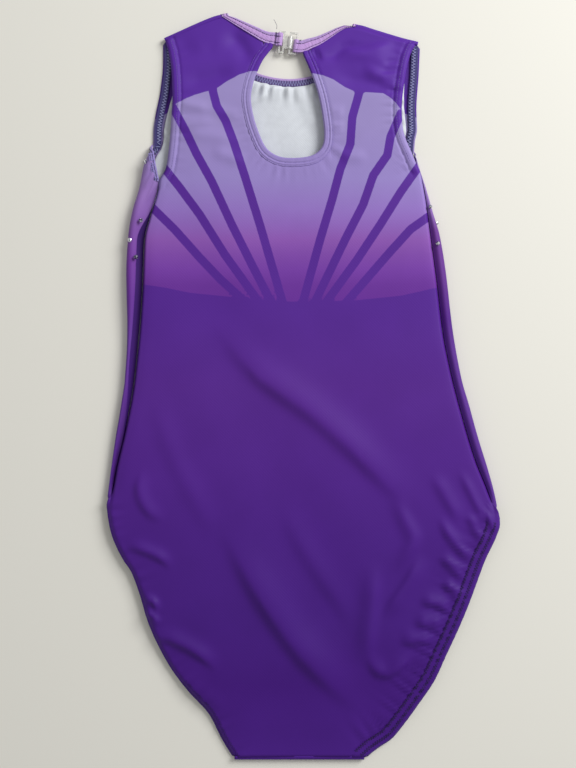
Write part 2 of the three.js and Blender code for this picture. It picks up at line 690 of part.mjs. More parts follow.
function claspSocket() {
  return inPlace(solid(claspBar(barAt.right, barDiameter / 2, 2 * halfBar))
    .add(claspArms(catchAt, barAt.right)).add(solid(claspBar(catchAt, barDiameter / 2, 2 * halfBar))));
}

function bartack(side) {
  const a = barAt[side] + outward[side] * (loopRadius + tackWidth);
  const spot = claspPoint(a, -outward[side] * loopPlay);
  const high = loftAt(spot.y) + layerGap + 0.1;
  return new THREE.BoxGeometry(tackWidth, neckBandWidth + 0.8, 0.5).rotateZ(claspTilt)
    .translate(spot.x, spot.y, high + 0.25);
}

// Flat-backed cut stone, its back a little above the cloth
function stone(side, spot) {
  const r = loftAt(spot.y) / 2;
  const flat = foldAt(side, spot.y) - r;
  const lean = Math.max(0, outward[side] * spot.x - flat) / r;
  const past = Math.max(0, flat - outward[side] * spot.x);
  const { o, n } = frontPlace(side, spot.y, flat + r * (Math.PI - Math.asin(lean)) + past);
  const turn = new THREE.Quaternion().setFromUnitVectors(new THREE.Vector3(0, 1, 0), n);
  const spotAt = o.addScaledVector(n, stoneSeat + stoneHeight / 2);
  return new THREE.CylinderGeometry(stoneWidth * 0.28, stoneWidth / 2, stoneHeight, 8)
    .applyQuaternion(turn).translate(spotAt.x, spotAt.y, spotAt.z);
}

const elasticDepth = knit + layerGap;
const hemUnder = elasticDepth + elasticThick + layerGap;
const band = (a, b, low, high) => [[a, low], [b, low], [b, high], [a, high]];

add('back_panel', backPanel(), violet);
add('front_panel', frontPanel(), magenta);
add('front_lining', frontLining(), white);
add('crotch_lining', crotchLining(), white);
add('neck_binding', neckBinding(), lilac);
add('neck_elastic', carried(neckStations().slice(2, -2), bindingElastic()), rubberWhite);
const keyhole = edgeStations(spline(keyholeEdge, 40), loftAt, up, -1);
add('keyhole_binding', carried(keyhole, binding(keyholeBandWidth)), lavender);
for (const side of sides) {
  const elastic = band(edgeInset, edgeInset + elasticWidth, elasticDepth, elasticDepth + elasticThick);
  const hem = band(edgeInset / 2, hemWidth, hemUnder, hemUnder + liningKnit);
  add(`armhole_elastic_${side}`, carried(armholeLoop(side), elastic), rubberWhite);
  add(`armhole_hem_${side}`, carried(armholeLoop(side), hem), darkViolet);
  add(`leg_elastic_${side}`, carried(legLoop(side), elastic), rubberWhite);
  add(`leg_hem_${side}`, carried(legLoop(side), hem), violet);
  add(`shoulder_seam_${side}`, shoulderSeam(side), violet);
  add(`side_seam_${side}`, sideSeamStrip(side), thread);
  add(`bartack_${side}`, bartack(side), thread);
}
add('crotch_seam', crotchSeam(), violet);
add('clasp_hook', claspHook(), clear);
add('clasp_socket', claspSocket(), clear);
for (const side of sides) {
  stoneSpots[side].forEach((spot, k) => add(`rhinestone_${side}_${k + 1}`, stone(side, spot), crystal));
}

export default leotard;
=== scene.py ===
import bmesh
import bpy
import numpy as np
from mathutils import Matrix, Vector


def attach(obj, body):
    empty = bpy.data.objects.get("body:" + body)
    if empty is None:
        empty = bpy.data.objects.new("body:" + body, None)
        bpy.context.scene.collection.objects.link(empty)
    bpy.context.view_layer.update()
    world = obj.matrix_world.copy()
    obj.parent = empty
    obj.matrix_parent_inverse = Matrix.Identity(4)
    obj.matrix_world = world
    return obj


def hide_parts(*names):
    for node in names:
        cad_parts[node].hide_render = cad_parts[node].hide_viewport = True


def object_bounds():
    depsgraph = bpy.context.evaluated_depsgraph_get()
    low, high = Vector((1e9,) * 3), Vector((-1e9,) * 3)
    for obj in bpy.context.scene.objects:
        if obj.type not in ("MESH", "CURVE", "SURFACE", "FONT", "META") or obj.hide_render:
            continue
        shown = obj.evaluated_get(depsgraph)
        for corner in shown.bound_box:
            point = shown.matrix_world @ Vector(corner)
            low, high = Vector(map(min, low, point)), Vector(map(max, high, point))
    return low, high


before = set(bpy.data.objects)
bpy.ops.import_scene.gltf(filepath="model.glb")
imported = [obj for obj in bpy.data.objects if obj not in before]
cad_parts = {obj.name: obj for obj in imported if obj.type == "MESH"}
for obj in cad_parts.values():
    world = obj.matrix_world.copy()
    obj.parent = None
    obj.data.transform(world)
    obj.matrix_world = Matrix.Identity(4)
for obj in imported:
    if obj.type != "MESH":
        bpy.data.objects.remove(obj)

# A sleeveless gymnastics leotard lying on its front, back side up, neck towards +Y.
# Drafts and sizes here are in millimetres; finishPiece turns them into metres.
cadLow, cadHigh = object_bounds()
millimetre = 0.001
sides = ("left", "right")
outward = {"left": -1, "right": 1}
print("frame loaded:", len(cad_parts), "nodes")

cloth = {
    "draftLength": 562, "draftWidth": 294.57,
    "loft": 9, "knit": 0.6, "liningKnit": 0.4, "layerGap": 0.3,
    "elasticThick": 0.5, "elasticWidth": 5.6, "edgeInset": 0.8,
    "hemWidth": 6.6, "legHemWidth": 10.4, "neckBandWidth": 9.7, "keyholeBandWidth": 6.6,
    "bandThick": 2.0, "bandFabric": 0.4, "foldRadius": 2.295, "tuck": 1.6,
    "wrapTop": {"left": 183.4, "right": 177.4}, "wrapEnd": {"left": -90, "right": -97}, "wrapRun": 8,
    "crotch": -281, "slack": 1.75,
    "valleyDepth": {"left": 5.8, "right": 2.8}, "valleyWidth": {"left": 6, "right": 2.2},
    "seamGroove": {"left": 1.1, "right": 1.1}, "seamBank": {"left": 5, "right": 4}, "bankShare": 0.16,
    "armRelief": (0.6, 0.6), "legRelief": (0.5, 0.4),
}
lengthGrade = (cadHigh.y - cadLow.y) / millimetre / cloth["draftLength"]
widthGrade = (cadHigh.x - cadLow.x) / millimetre / cloth["draftWidth"]


def graded(points):
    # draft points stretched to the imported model's length and width
    return np.array(points, float) * (widthGrade, lengthGrade)


draft = {
    ("silhouette", "left"): [(-114.4, 177.4), (-119.3, 166.9), (-123, 149), (-128.3, 131),
        (-131.3, 113), (-132.8, 86), (-132, 42), (-133.9, 5), (-136.5, -13), (-141, -40), (-144.8, -67),
        (-147, -85), (-147.8, -96)],
    ("silhouette", "right"): [(84, 177.4), (86.5, 167), (92.3, 149), (97.5, 131), (102.8, 113),
        (107.3, 86), (112.5, 42), (119.3, 5), (124.5, -13), (132, -40), (140.3, -67), (144.8, -85),
        (147.8, -103)],
    ("seam", "left"): [(-107.6, 155.5), (-109.5, 146), (-114.8, 128.6), (-119.3, 110), (-120.8, 72),
        (-126.8, 5), (-133.5, -32.6), (-140.5, -62.6), (-144.2, -85)],
    ("seam", "right"): [(85.2, 166), (88.5, 158.6), (91.9, 140), (94.5, 121), (100.5, 76),
        (105, 38.6), (110.3, 12.4), (117.8, -17.6), (129, -55), (138, -77.6), (142.8, -92)],
    ("backArm", "left"): [(-104.6, 262.4), (-100.7, 250), (-98.6, 236), (-97.7, 215), (-98.6, 201.4),
        (-99, 194), (-101.3, 171.4), (-102.9, 163), (-107.6, 155.5)],
    ("backArm", "right"): [(86.9, 259.6), (82.7, 253.6), (79.4, 245), (77.3, 235.5), (75.6, 225.4),
        (74.3, 215.4), (73.9, 207.4), (74.6, 194), (77, 185), (81, 176), (85.2, 166)],
    ("frontArm", "left"): [(-105.5, 262.4), (-105.5, 245), (-107.6, 223), (-111, 206), (-113, 192.4),
        (-113.1, 183.4)],
    ("frontArm", "right"): [(88.5, 259.6), (87.4, 235.5), (85.7, 209), (86.2, 194), (84.6, 185),
        (84, 177.4)],
    ("frontArmTop", "left"): [(-112, 182), (-110.3, 169), (-108.6, 160), (-107.6, 155.5)],
    ("frontArmTop", "right"): [(84.4, 174), (85.2, 166)],
    ("backLeg", "left"): [(-147.4, -90), (-145.5, -103), (-143.3, -112), (-135, -130), (-129, -139),
        (-122.3, -157), (-117, -175), (-109.5, -193), (-99.8, -211), (-86.3, -229), (-70.5, -247),
        (-61.5, -265), (-55.5, -275), (-51.5, -281)],
    ("backLeg", "right"): [(147, -96), (147.4, -103), (144.8, -112), (136.5, -130), (129.8, -148),
        (123, -166), (115.5, -184), (107.3, -202), (99, -220), (87, -238), (74.3, -256), (67, -265),
        (54, -274), (46, -281)],
    ("frontLeg", "left"): [(-143.3, -93), (-122.3, -145), (-99.8, -194), (-75, -235), (-57, -268),
        (-50.5, -281)],
    ("frontLeg", "right"): [(142.5, -100), (125, -138), (103, -182.6), (82, -227.6), (59, -265),
        (45, -281)],
    ("shoulder", "left"): [(-56.2, 281), (-65.9, 279.1), (-77.5, 274.6), (-92.2, 268),
        (-104.6, 262.4)],
    ("shoulder", "right"): [(37.1, 272.9), (44.5, 271.9), (54.5, 268.7), (74, 262.8), (86.9, 259.6)],
    ("backNeck", "left"): [(-26.5, 266.9), (-34.2, 270.1), (-42.8, 273.8), (-50.6, 277.2)],
    ("backNeck", "right"): [(3.7, 261.6), (10.4, 263.3), (18.4, 266.6), (25.1, 269.6), (31, 271.6)],
    ("frontNeck", ""): [(-55, 270), (-53.5, 259), (-48, 247), (-34.5, 236.5), (-10, 232), (14, 236.5),
        (29, 246), (34.5, 256), (36, 264)],
    ("keyhole", ""): [(-24, 253.3), (-30, 245), (-34.5, 235), (-37.5, 226), (-39, 215),
        (-36.8, 201.4), (-32.3, 188), (-27, 178), (-18, 172.2), (-6, 171), (6.8, 172.9), (14, 179),
        (15.8, 188.6), (14.3, 203.6), (11.3, 218.6), (6.3, 234), (0.4, 248.5)],
}
outline = {key: graded(points) for key, points in draft.items()}
clasp = {"centre": graded([(-11.3, 258.4)])[0], "tilt": np.radians(-6), "pitch": 12.7, "loopRadius": 2.2,
    "loopHole": 1.1, "play": 1.95}


def ease(t):
    # rises from 0 to 1 with flat ends
    t = np.clip(t, 0, 1)
    return t * t * (3 - 2 * t)


def mix(a, b, t):
    # a at 0, b at 1, and a straight line between them
    return a + (b - a) * t


def throughPoints(points):
    # value against place: cubics whose slopes are harmonic means of their neighbours', so nothing overshoots
    table = np.array(sorted(map(tuple, points), key=lambda p: p[1]))
    value, place = table[:, 0], table[:, 1]
    chord = np.diff(value) / np.diff(place)
    product = chord[:-1] * chord[1:]
    total = np.where(product > 0, chord[:-1] + chord[1:], 1)
    slope = np.r_[chord[0], np.where(product > 0, 2 * product / total, 0), chord[-1]]

    def curve(y):
        y = np.clip(y, place[0], place[-1])
        i = np.clip(np.searchsorted(place, y, side="right") - 1, 0, len(place) - 2)
        span = place[i + 1] - place[i]
        t = (y - place[i]) / span
        return (value[i] * (1 + 2 * t) * (1 - t) ** 2 + value[i + 1] * t * t * (3 - 2 * t)
            + span * slope[i] * t * (1 - t) ** 2 + span * slope[i + 1] * t * t * (t - 1))
    return curve


def travelled(line):
    # distance along a line at each of its points: the running sum of its steps
    return np.r_[0, np.cumsum(np.linalg.norm(np.diff(line, axis=0), axis=1))]


def evenly(line, count):
    # points at equal distances along a polyline, or at the given shares of its length
    length = travelled(line)
    places = np.linspace(0, length[-1], count) if np.isscalar(count) else np.asarray(count) * length[-1]
    return np.stack([np.interp(places, length, axis) for axis in line.T], 1)


def smoothLine(points, count):
    # Catmull-Rom curve through the points, then spaced evenly
    p = np.array(points, float)
    q = np.vstack([2 * p[0] - p[1], p, 2 * p[-1] - p[-2]])
    t = np.linspace(0, 1, 12, endpoint=False)[:, None]
    runs = [0.5 * (2 * q[i] + (q[i + 1] - q[i - 1]) * t
        + (2 * q[i - 1] - 5 * q[i] + 4 * q[i + 1] - q[i + 2]) * t ** 2
        + (3 * q[i] - q[i - 1] - 3 * q[i + 1] + q[i + 2]) * t ** 3) for i in range(1, len(q) - 2)]
    return evenly(np.vstack(runs + [p[-1:]]), count)


def unit(vectors):
    # each vector divided by its own length
    return vectors / np.maximum(np.linalg.norm(vectors, axis=-1, keepdims=True), 1e-9)


def aside(line, distance):
    # a plan line moved to the left of its direction
    along = unit(np.gradient(line, axis=0))
    return line + distance * np.stack([-along[:, 1], along[:, 0]], 1)


def nearest(x, y, line):
    # distance to a polyline, its side (+1 on the left), and how far along it the foot lies
    best, side, along, start = np.full(np.shape(x), 1e9), np.ones(np.shape(x)), np.zeros(np.shape(x)), 0.0
    for a, b in zip(line[:-1], line[1:]):
        step = b - a
        length = np.hypot(*step)
        t = np.clip(((x - a[0]) * step[0] + (y - a[1]) * step[1]) / length ** 2, 0, 1)
        dx, dy = x - a[0] - t * step[0], y - a[1] - t * step[1]
        gap = np.hypot(dx, dy)
        closer = gap < best
        best = np.where(closer, gap, best)
        side = np.where(closer, np.sign(step[0] * dy - step[1] * dx), side)
        along = np.where(closer, start + t * length, along)
        start += length
    return best, side, along, start


def coons(bottom, top, left, right):
    # surface patch blended between four border lines; rows run from bottom to top
    u = patchShare(bottom)[None, :, None]
    v = patchShare(left)[:, None, None]
    ruled = mix(bottom[None], top[None], v) + mix(left[:, None], right[:, None], u)
    corners = mix(mix(bottom[0], bottom[-1], u), mix(top[0], top[-1], u), v)
    return ruled - corners


def patchShare(line):
    # share of a line's length at each of its points
    length = travelled(line)
    return length / length[-1]


def raised(flats, height=None):
    # plan grids with a height at each point, or flat on the table where no height is given
    if height is None:
        return [np.dstack([flat, 0 * flat[..., 0]]) for flat in flats]
    return [np.dstack([flat, height(flat[..., 0], flat[..., 1])[..., None]]) for flat in flats]


def waves(s, period, seed):
    # uneven wave, a sum of four sines with seeded pitch and phase, between about -1 and 1
    draw = np.random.default_rng(seed)
    pitch, phase = draw.uniform(0.7, 1.5, 4), draw.uniform(0, 6.28, 4)
    return sum(np.sin(6.28 * s / period * f + p) for f, p in zip(pitch, phase)) / 2.4


at = {key: throughPoints(points) for key, points in outline.items() if key[0] not in ("keyhole", "frontNeck")}
rise = cloth["loft"] - 2 * cloth["foldRadius"]
low = 2 * cloth["foldRadius"]
loftAt = throughPoints([(z, y * lengthGrade) for z, y in [(low, 290), (low, 262), (low + 0.62 * rise, 238),
    (8.8, 215), (9, 190), (9, -100), (8.2, -180), (low + 0.3 * rise, -250), (low, -273), (low, -290)]])
tip = {side: outline["seam", side][0, 1] for side in sides}
hip = {side: outline["backLeg", side][0, 1] for side in sides}

# Soft folds of the laid cloth: height, width on the lit side, width on the far side, and the line they follow
creases = [
    (2, 14, 6, [(-68, 56), (-53, 31), (-31, 6), (-2, -14), (26, -37), (47, -57), (70, -79), (95, -100)]),
    (2.4, 16, 6, [(-61, -100), (-43, -138), (-23, -171), (-1, -201), (26, -228), (49, -246)]),
    (0.9, 10, 5, [(-16, -84), (-4, -114), (11, -139), (29, -165), (41, -190)]),
    (0.7, 9, 7, [(-113, -1), (-105, -29), (-95, -57), (-79, -87), (-61, -119)]),
    (1.1, 6, 3, [(-118, -61), (-123, -78), (-115, -94), (-101, -100)]),
    (1.5, 5, 2.5, [(-134, -120), (-121, -122), (-107, -128), (-97, -136)]),
    (1.5, 3, 2, [(-120, -159), (-112, -161), (-109, -168)]),
    (1.3, 3, 2, [(-120, -169), (-113, -172), (-107, -177)]),
    (1.8, 7, 3, [(-115, -186), (-98, -190), (-80, -199), (-62, -213)]),
    (0.5, 7, 5, [(-96, -214), (-77, -228), (-55, -246)]),
    (1.6, 5, 8, [(53, -127), (52, -153), (50, -175), (48, -198), (52, -213)]),
    (1.5, 9, 3, [(90, -124), (77, -147), (66, -163), (61, -175)]),
    (1.2, 5, 5, [(67, -79), (76, -100), (82, -114), (76, -127), (68, -139)]),
    (1.5, 7, 3, [(47, -199), (55, -213), (65, -215), (76, -206), (83, -198)]),
    (1.4, 5, 2, [(101, -96), (108, -111), (118, -123), (128, -134)]),
    (1, 4, 2.5, [(122, -94), (129, -108), (136, -120)]),
    (0.9, 3, 1.5, [(134, -91), (140, -102), (144, -109)]),
    (1.5, 5, 2.5, [(101, -125), (111, -135), (122, -145)]),
    (1.5, 5, 2.5, [(103, -144), (112, -153), (119, -161)]),
    (1.6, 5, 2.5, [(86, -161), (100, -162), (111, -168)]),
    (1.6, 6, 3, [(82, -177), (95, -177), (106, -180)]),
    (1.5, 6, 3, [(71, -190), (86, -190), (100, -190)]),
    (0.9, 6, 4, [(95, -63), (108, -85), (119, -105)]),
    (0.8, 4, 3, [(116, -61), (128, -85), (138, -105)]),
    (0.6, 4, 4, [(-74, 207), (-61, 205), (-43, 201)]),
    (0.7, 5, 5, [(-95, 190), (-74, 188), (-44, 183)]),
    (0.5, 4, 4, [(17, 207), (32, 204)]),
    (0.5, 4, 4, [(17, 196), (32, 193)]),
    (0.8, 10, 8, [(-88, 251), (-70, 260), (-52, 257)]),
    (-1.1, 5, 6, [(-56, 269), (-45, 254), (-38, 240)]),
    (-0.9, 6, 5, [(-92, 227), (-74, 230), (-50, 238)]),
    (1, 8, 6, [(22, 245), (43, 248), (71, 243)]),
    (-1.1, 3.5, 3.5, [(12, 245), (16, 248), (24, 249), (32, 255), (41, 254), (56, 254)]),
    (-1.6, 1.6, 1.6, [(6, 255), (10, 249), (14, 243)]),
    (-1, 1.5, 1.5, [(4, 251), (7, 246), (10, 243)]),
    (-0.6, 2, 2, [(76, 246), (59, 242)]),
    (-0.6, 2, 2, [(76, 238), (56, 236)]),
    (-0.6, 2, 2, [(76, 230), (59, 230)]),
    (-0.6, 2, 2, [(76, 220), (62, 222)]),
    (-0.8, 6, 5, [(20, 237), (35, 230), (58, 226), (73, 216)]),
    (0.9, 1.6, 1.3, [(-111, 171), (-115, 166), (-119, 158)]),
    (0.9, 1.6, 1.3, [(-110, 164), (-114, 156), (-120, 147)]),
    (0.8, 1.8, 1.4, [(-109, 157), (-113, 148), (-118, 138)]),
    (1.2, 5, 3, [(70, 258), (48, 252), (30, 252)]),
    (1.1, 5, 4, [(74, 228), (58, 232), (44, 240)]),
    (0.9, 4, 3, [(-98, 214), (-84, 210), (-66, 206)]),
    (0.8, 4, 3, [(-100, 196), (-84, 196), (-62, 199)]),
    (0.8, 5, 4, [(-70, 176), (-56, 172), (-42, 166)]),
    (0.7, 4, 4, [(22, 176), (34, 172), (50, 172)]),
]
creaseLines = [(height, lit, far, smoothLine(graded(points), 12)) for height, lit, far, points in creases]


def foldHeight(x, y):
    # each fold is a bell across its line, narrower on its far side, and dies away towards its ends
    total = 0.25 * waves(x + 0.4 * y, 90, 3) + 0.2 * waves(y - 0.3 * x, 70, 5)
    for height, lit, far, line in creaseLines:
        gap, side, along, length = nearest(x, y, line)
        ends = ease(np.minimum(along, length - along) / (0.35 * length))
        total = total + height * ends * np.exp(-(gap / np.where(side > 0, lit, far)) ** 2)
    return total * cloth["slack"]


edgeLine = {}
for side in sides:
    armY = np.linspace(outline["backArm", side][0, 1], tip[side], 60)
    edgeLine["arm", side] = np.stack([at["backArm", side](armY), armY], 1)
    seamY = np.linspace(tip[side], hip[side], 60)
    edgeLine["seam", side] = np.stack([at["seam", side](seamY), seamY], 1)
    legY = np.linspace(hip[side], cloth["crotch"], 70)
    edgeLine["leg", side] = np.stack([at["backLeg", side](legY), legY], 1)
keyholeLine = smoothLine([*graded([(-22.2, 257)]), *outline["keyhole", ""], *graded([(-0.4, 251.4)])], 168)
frontRim = smoothLine(outline["frontNeck", ""], 90)


def clothHeight(x, y):
    # the laid back before its hems: loft and folds
    return loftAt(y) + foldHeight(x, y)


def seamValley(x, y, widths):
    # depth of the valley along each side seam, which runs out at the underarm and at the hip
    depth = 0
    for side in sides:
        gap, _, along, length = nearest(x, y, edgeLine["seam", side])
        ends = ease(np.minimum(along + 8, length - along + 4) / 26)
        depth = depth + cloth["valleyDepth"][side] * ends * np.exp(-(gap / widths[side]) ** 2)
    return depth


# Gathers along each edge: how high, how far apart, how far they run into the panel, and their random seed
gathers = {
    "arm": {"left": (0.55, 5.5, 7, 11), "right": (0.55, 4.5, 7, 11)},
    "leg": {"left": (0.6, 10, 8, 17), "right": (1.0, 8, 15, 13)},
    "keyhole": (0.5, 4.6, 8, 19),
}


def gathered(settings, along, gap, start):
    # uneven waves along an edge, strongest at the stitching
    size, pitch, run, seed = settings
    return size * waves(along, pitch, seed) * gatherReach(gap, start, run)


def panelHeight(x, y):
    # hems stand up as rounded bands with a groove along their stitching, free edges roll down,
    # and gathers run in from them
    height = clothHeight(x, y) - seamValley(x, y, cloth["seamGroove"])
    height = height - cloth["bankShare"] * seamValley(x, y, cloth["seamBank"])
    for side in sides:
        gap, _, along, _ = nearest(x, y, edgeLine["arm", side])
        height += bandRelief(gap, cloth["hemWidth"], *cloth["armRelief"])
        height += gathered(gathers["arm"][side], along, gap, cloth["hemWidth"])
        gap, _, along, _ = nearest(x, y, edgeLine["leg", side])
        if side == "right":  # this hem lies flat on the back, the left one turns under
            height += bandRelief(gap, cloth["legHemWidth"], *cloth["legRelief"])
            height += gathered(gathers["leg"][side], along, gap, cloth["legHemWidth"])
        else:
            height -= 2.6 * np.exp(-(gap / 2.4) ** 2)
            height += gathered(gathers["leg"][side], along, gap, 3)
    gap, _, along, _ = nearest(x, y, keyholeLine)
    width = cloth["keyholeBandWidth"]
    height -= 0.42 * ease(width + 0.4 - gap)  # the panel goes under the binding
    height += gathered(gathers["keyhole"], along, gap, width + 1) * ease((215 - y) / 20)
    return height


def bandRelief(gap, width, puff, groove):
    # puffed strip as wide as the hem, a stitch groove at its inner border, a rolled free edge
    body = puff * np.sin(np.pi * np.clip(gap / width, 0, 1)) ** 0.6
    return body - groove * np.exp(-((gap - width) / 0.8) ** 2) - 1.3 * np.exp(-(gap / 1.1) ** 2)


def gatherReach(gap, start, run):
    # full at the stitching, gone a run's length into the panel, and weak on the hem itself
    return np.where(gap > start, np.exp(-((gap - start) / run) ** 2), 0.35)


printDraft = {
    "rayWidth": 6.3,
    "rays": [
        [(-69, 227), (-64.5, 209.6), (-57.8, 198.4), (-51.8, 182.6), (-43.5, 157.1), (-32.3, 121.1), (-15, 62)],
        [(-97, 208), (-87.8, 190.9), (-79.5, 173.6), (-68.3, 153.4), (-53.3, 121.1), (-38.3, 91.1), (-23.3, 62)],
        [(-106, 166), (-92.3, 148.9), (-77.3, 128.6), (-58.5, 98.6), (-32.3, 62)],
        [(-115, 136), (-96, 117.4), (-77.3, 96.4), (-62.3, 80.6), (-42, 62)],
        [(43.5, 225), (36.8, 201.4), (35.3, 181.1), (27.8, 162.4), (21.8, 139.9), (12.8, 109.9), (-0.4, 62)],
        [(73, 204), (65.3, 186.4), (63, 172.9), (52.5, 157.9), (45, 136.1), (31.5, 109.9), (8.3, 62)],
        [(89, 168), (72.8, 145.1), (57.8, 121.1), (40.5, 94.9), (16.5, 62)],
        [(98, 130), (80.3, 117.4), (65.3, 100.9), (50.3, 83.6), (31.5, 62)],
    ],
    "yoke": [(-125, 195), (-101, 207), (-96, 210.4), (-89.3, 214.1), (-81, 217.9), (-71.3, 220.9),
        (-65.3, 222.4), (-57, 228.4), (-47.3, 233.6), (-39.8, 235.9), (-33, 236), (6.8, 234.4), (15, 232.9),
        (22.5, 229.9), (31.5, 223.9), (39.8, 220.1), (48, 220.1), (60, 219.4), (66.8, 214.9), (72.8, 207.4),
        (95, 200)],
    "horizon": [(-150, 78), (-118.5, 76.1), (-103.5, 73.9), (-84.8, 70.1), (-54.8, 67.1), (-9.8, 63.4),
        (36.8, 64.1), (73.5, 67.9), (99.8, 73.9), (150, 78)],
}


def printAndShadeEdge(x, y, withRays=True):
    # distance in millimetres to the border of the violet print, below zero inside it
    gap, side, _, _ = nearest(x, y, graded(printDraft["yoke"]))
    edge = -gap * side
    gap, side, _, _ = nearest(x, y, graded(printDraft["horizon"]))
    edge = np.minimum(edge, gap * side)
    if withRays:
        for ray in printDraft["rays"]:
            gap = nearest(x, y, graded(ray))[0]
            edge = np.minimum(edge, gap - printDraft["rayWidth"] / 2)
    return edge


def printValues(grids, withRays=True):
    # the print's distance at every point of several grids, in their order
    return np.concatenate([printAndShadeEdge(grid[..., 0], grid[..., 1], withRays).ravel() for grid in grids])


def makePiece(name, grids, material, values=None, wall=0, closed=False):
    # each grid (rows, columns, 3) becomes quads between neighbours, points that coincide are welded,
    # and each named value per point becomes an attribute; the plan place is kept as the cloth's UV
    points, quads, start = [], [], 0
    for grid in grids:
        rows, columns = grid.shape[:2]
        index = start + np.arange(rows * columns).reshape(rows, columns)
        corners = index[:-1, :-1], index[:-1, 1:], index[1:, 1:], index[1:, :-1]
        quads.append(np.stack(corners, -1).reshape(-1, 4))
        points.append(grid.reshape(-1, 3))
        start += rows * columns
    return finishPiece(name, np.vstack(points), np.vstack(quads).tolist(), material, values, wall, closed)


def finishPiece(name, points, faces, material, values=None, wall=0, closed=False, flatShade=False):
    # mesh in metres with its attributes, its plan as UV and, where it is one layer, its thickness
    mesh = bpy.data.meshes.new(name)
    mesh.from_pydata((points * millimetre).tolist(), [], faces)
    for key, value in (values or {}).items():
        attribute = mesh.attributes.new(key, "FLOAT", "POINT")
        attribute.data.foreach_set("value", np.asarray(value, np.float32).ravel())
    corners = np.zeros(len(mesh.loops), np.int32)
    mesh.loops.foreach_get("vertex_index", corners)
    plan = mesh.uv_layers.new(name="cloth")
    plan.data.foreach_set("uv", (points[corners, :2] * millimetre).astype(np.float32).ravel())
    work = bmesh.new()
    work.from_mesh(mesh)
    bmesh.ops.remove_doubles(work, verts=work.verts, dist=2e-6)
    if closed:
        bmesh.ops.recalc_face_normals(work, faces=work.faces)
    for face in work.faces:
        face.smooth = not flatShade
    work.to_mesh(mesh)
    work.free()
    mesh.materials.append(material)
    piece = bpy.data.objects.new(name, mesh)
    bpy.context.scene.collection.objects.link(piece)
    if wall:
        solidify = piece.modifiers.new("thickness", "SOLIDIFY")
        solidify.thickness = wall * millimetre
        solidify.offset = -1
    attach(piece, "garment")
    return piece


# Materials

def linear(code):
    # sRGB hex to linear red, green, blue, alpha
    value = np.array([int(code[k:k + 2], 16) / 255 for k in (1, 3, 5)])
    return (*np.where(value <= 0.04045, value / 12.92, ((value + 0.055) / 1.055) ** 2.4), 1)


def addNode(tree, kind, inputs=None, **settings):
    # one node: its settings by name, its sockets from numbers, colours or another node's output
    node = tree.nodes.new(kind)
    for name, value in settings.items():
        setattr(node, name, value)
    for name, value in (inputs or {}).items():
        if isinstance(value, bpy.types.NodeSocket):
            tree.links.new(value, node.inputs[name])
        else:
            node.inputs[name].default_value = value
    return node


def newMaterial(name):
    # an empty node material
    material = bpy.data.materials.new(name)
    material.use_nodes = True
    material.node_tree.nodes.clear()
    return material, material.node_tree


def surfaceOf(tree, **inputs):
    # principled surface from named values, wired to the output
    values = {key.replace("_", " "): value for key, value in inputs.items()}
    shader = addNode(tree, "ShaderNodeBsdfPrincipled", values)
    addNode(tree, "ShaderNodeOutputMaterial", {"Surface": shader.outputs[0]})


def ramp(tree, factor, stops):
    # colour ramp between places from 0 to 1
    node = addNode(tree, "ShaderNodeValToRGB", {"Fac": factor})
    node.color_ramp.elements.remove(node.color_ramp.elements[1])
    node.color_ramp.elements[0].position = stops[0][0]
    node.color_ramp.elements[0].color = linear(stops[0][1])
    for place, code in stops[1:]:
        node.color_ramp.elements.new(place).color = linear(code)
    return node.outputs[0]


def lengthFactor(tree):
    # 0 at the crotch fold, 1 at the shoulders, along the cloth's own UV
    plan = addNode(tree, "ShaderNodeUVMap", uv_map="cloth")
    split = addNode(tree, "ShaderNodeSeparateXYZ", {"Vector": plan.outputs[0]})
    return addNode(tree, "ShaderNodeMapRange", {"Value": split.outputs["Y"], "From Min": cadLow.y,
        "From Max": cadHigh.y}).outputs[0], plan.outputs[0], split.outputs["X"]


def knitBump(tree, plan, wale, depth):
    # columns of knit loops and a little unevenness of the yarn; wale is the drawn distance between columns,
    # and a wave texture's scale is 1 / (3.18 x that distance)
    columns = addNode(tree, "ShaderNodeTexWave", {"Vector": plan, "Scale": 1 / (wale * millimetre * 3.18),
        "Distortion": 1.5, "Detail Scale": 3.0}, wave_type="BANDS", bands_direction="DIAGONAL")
    yarn = addNode(tree, "ShaderNodeTexNoise", {"Vector": plan, "Scale": 900.0, "Detail": 3.0})
    both = addNode(tree, "ShaderNodeMath", {0: columns.outputs["Fac"], 1: yarn.outputs["Fac"]}, operation="ADD")
    bump = addNode(tree, "ShaderNodeBump", {"Height": both.outputs[0], "Strength": depth, "Distance": 0.0002})
    return bump.outputs[0]


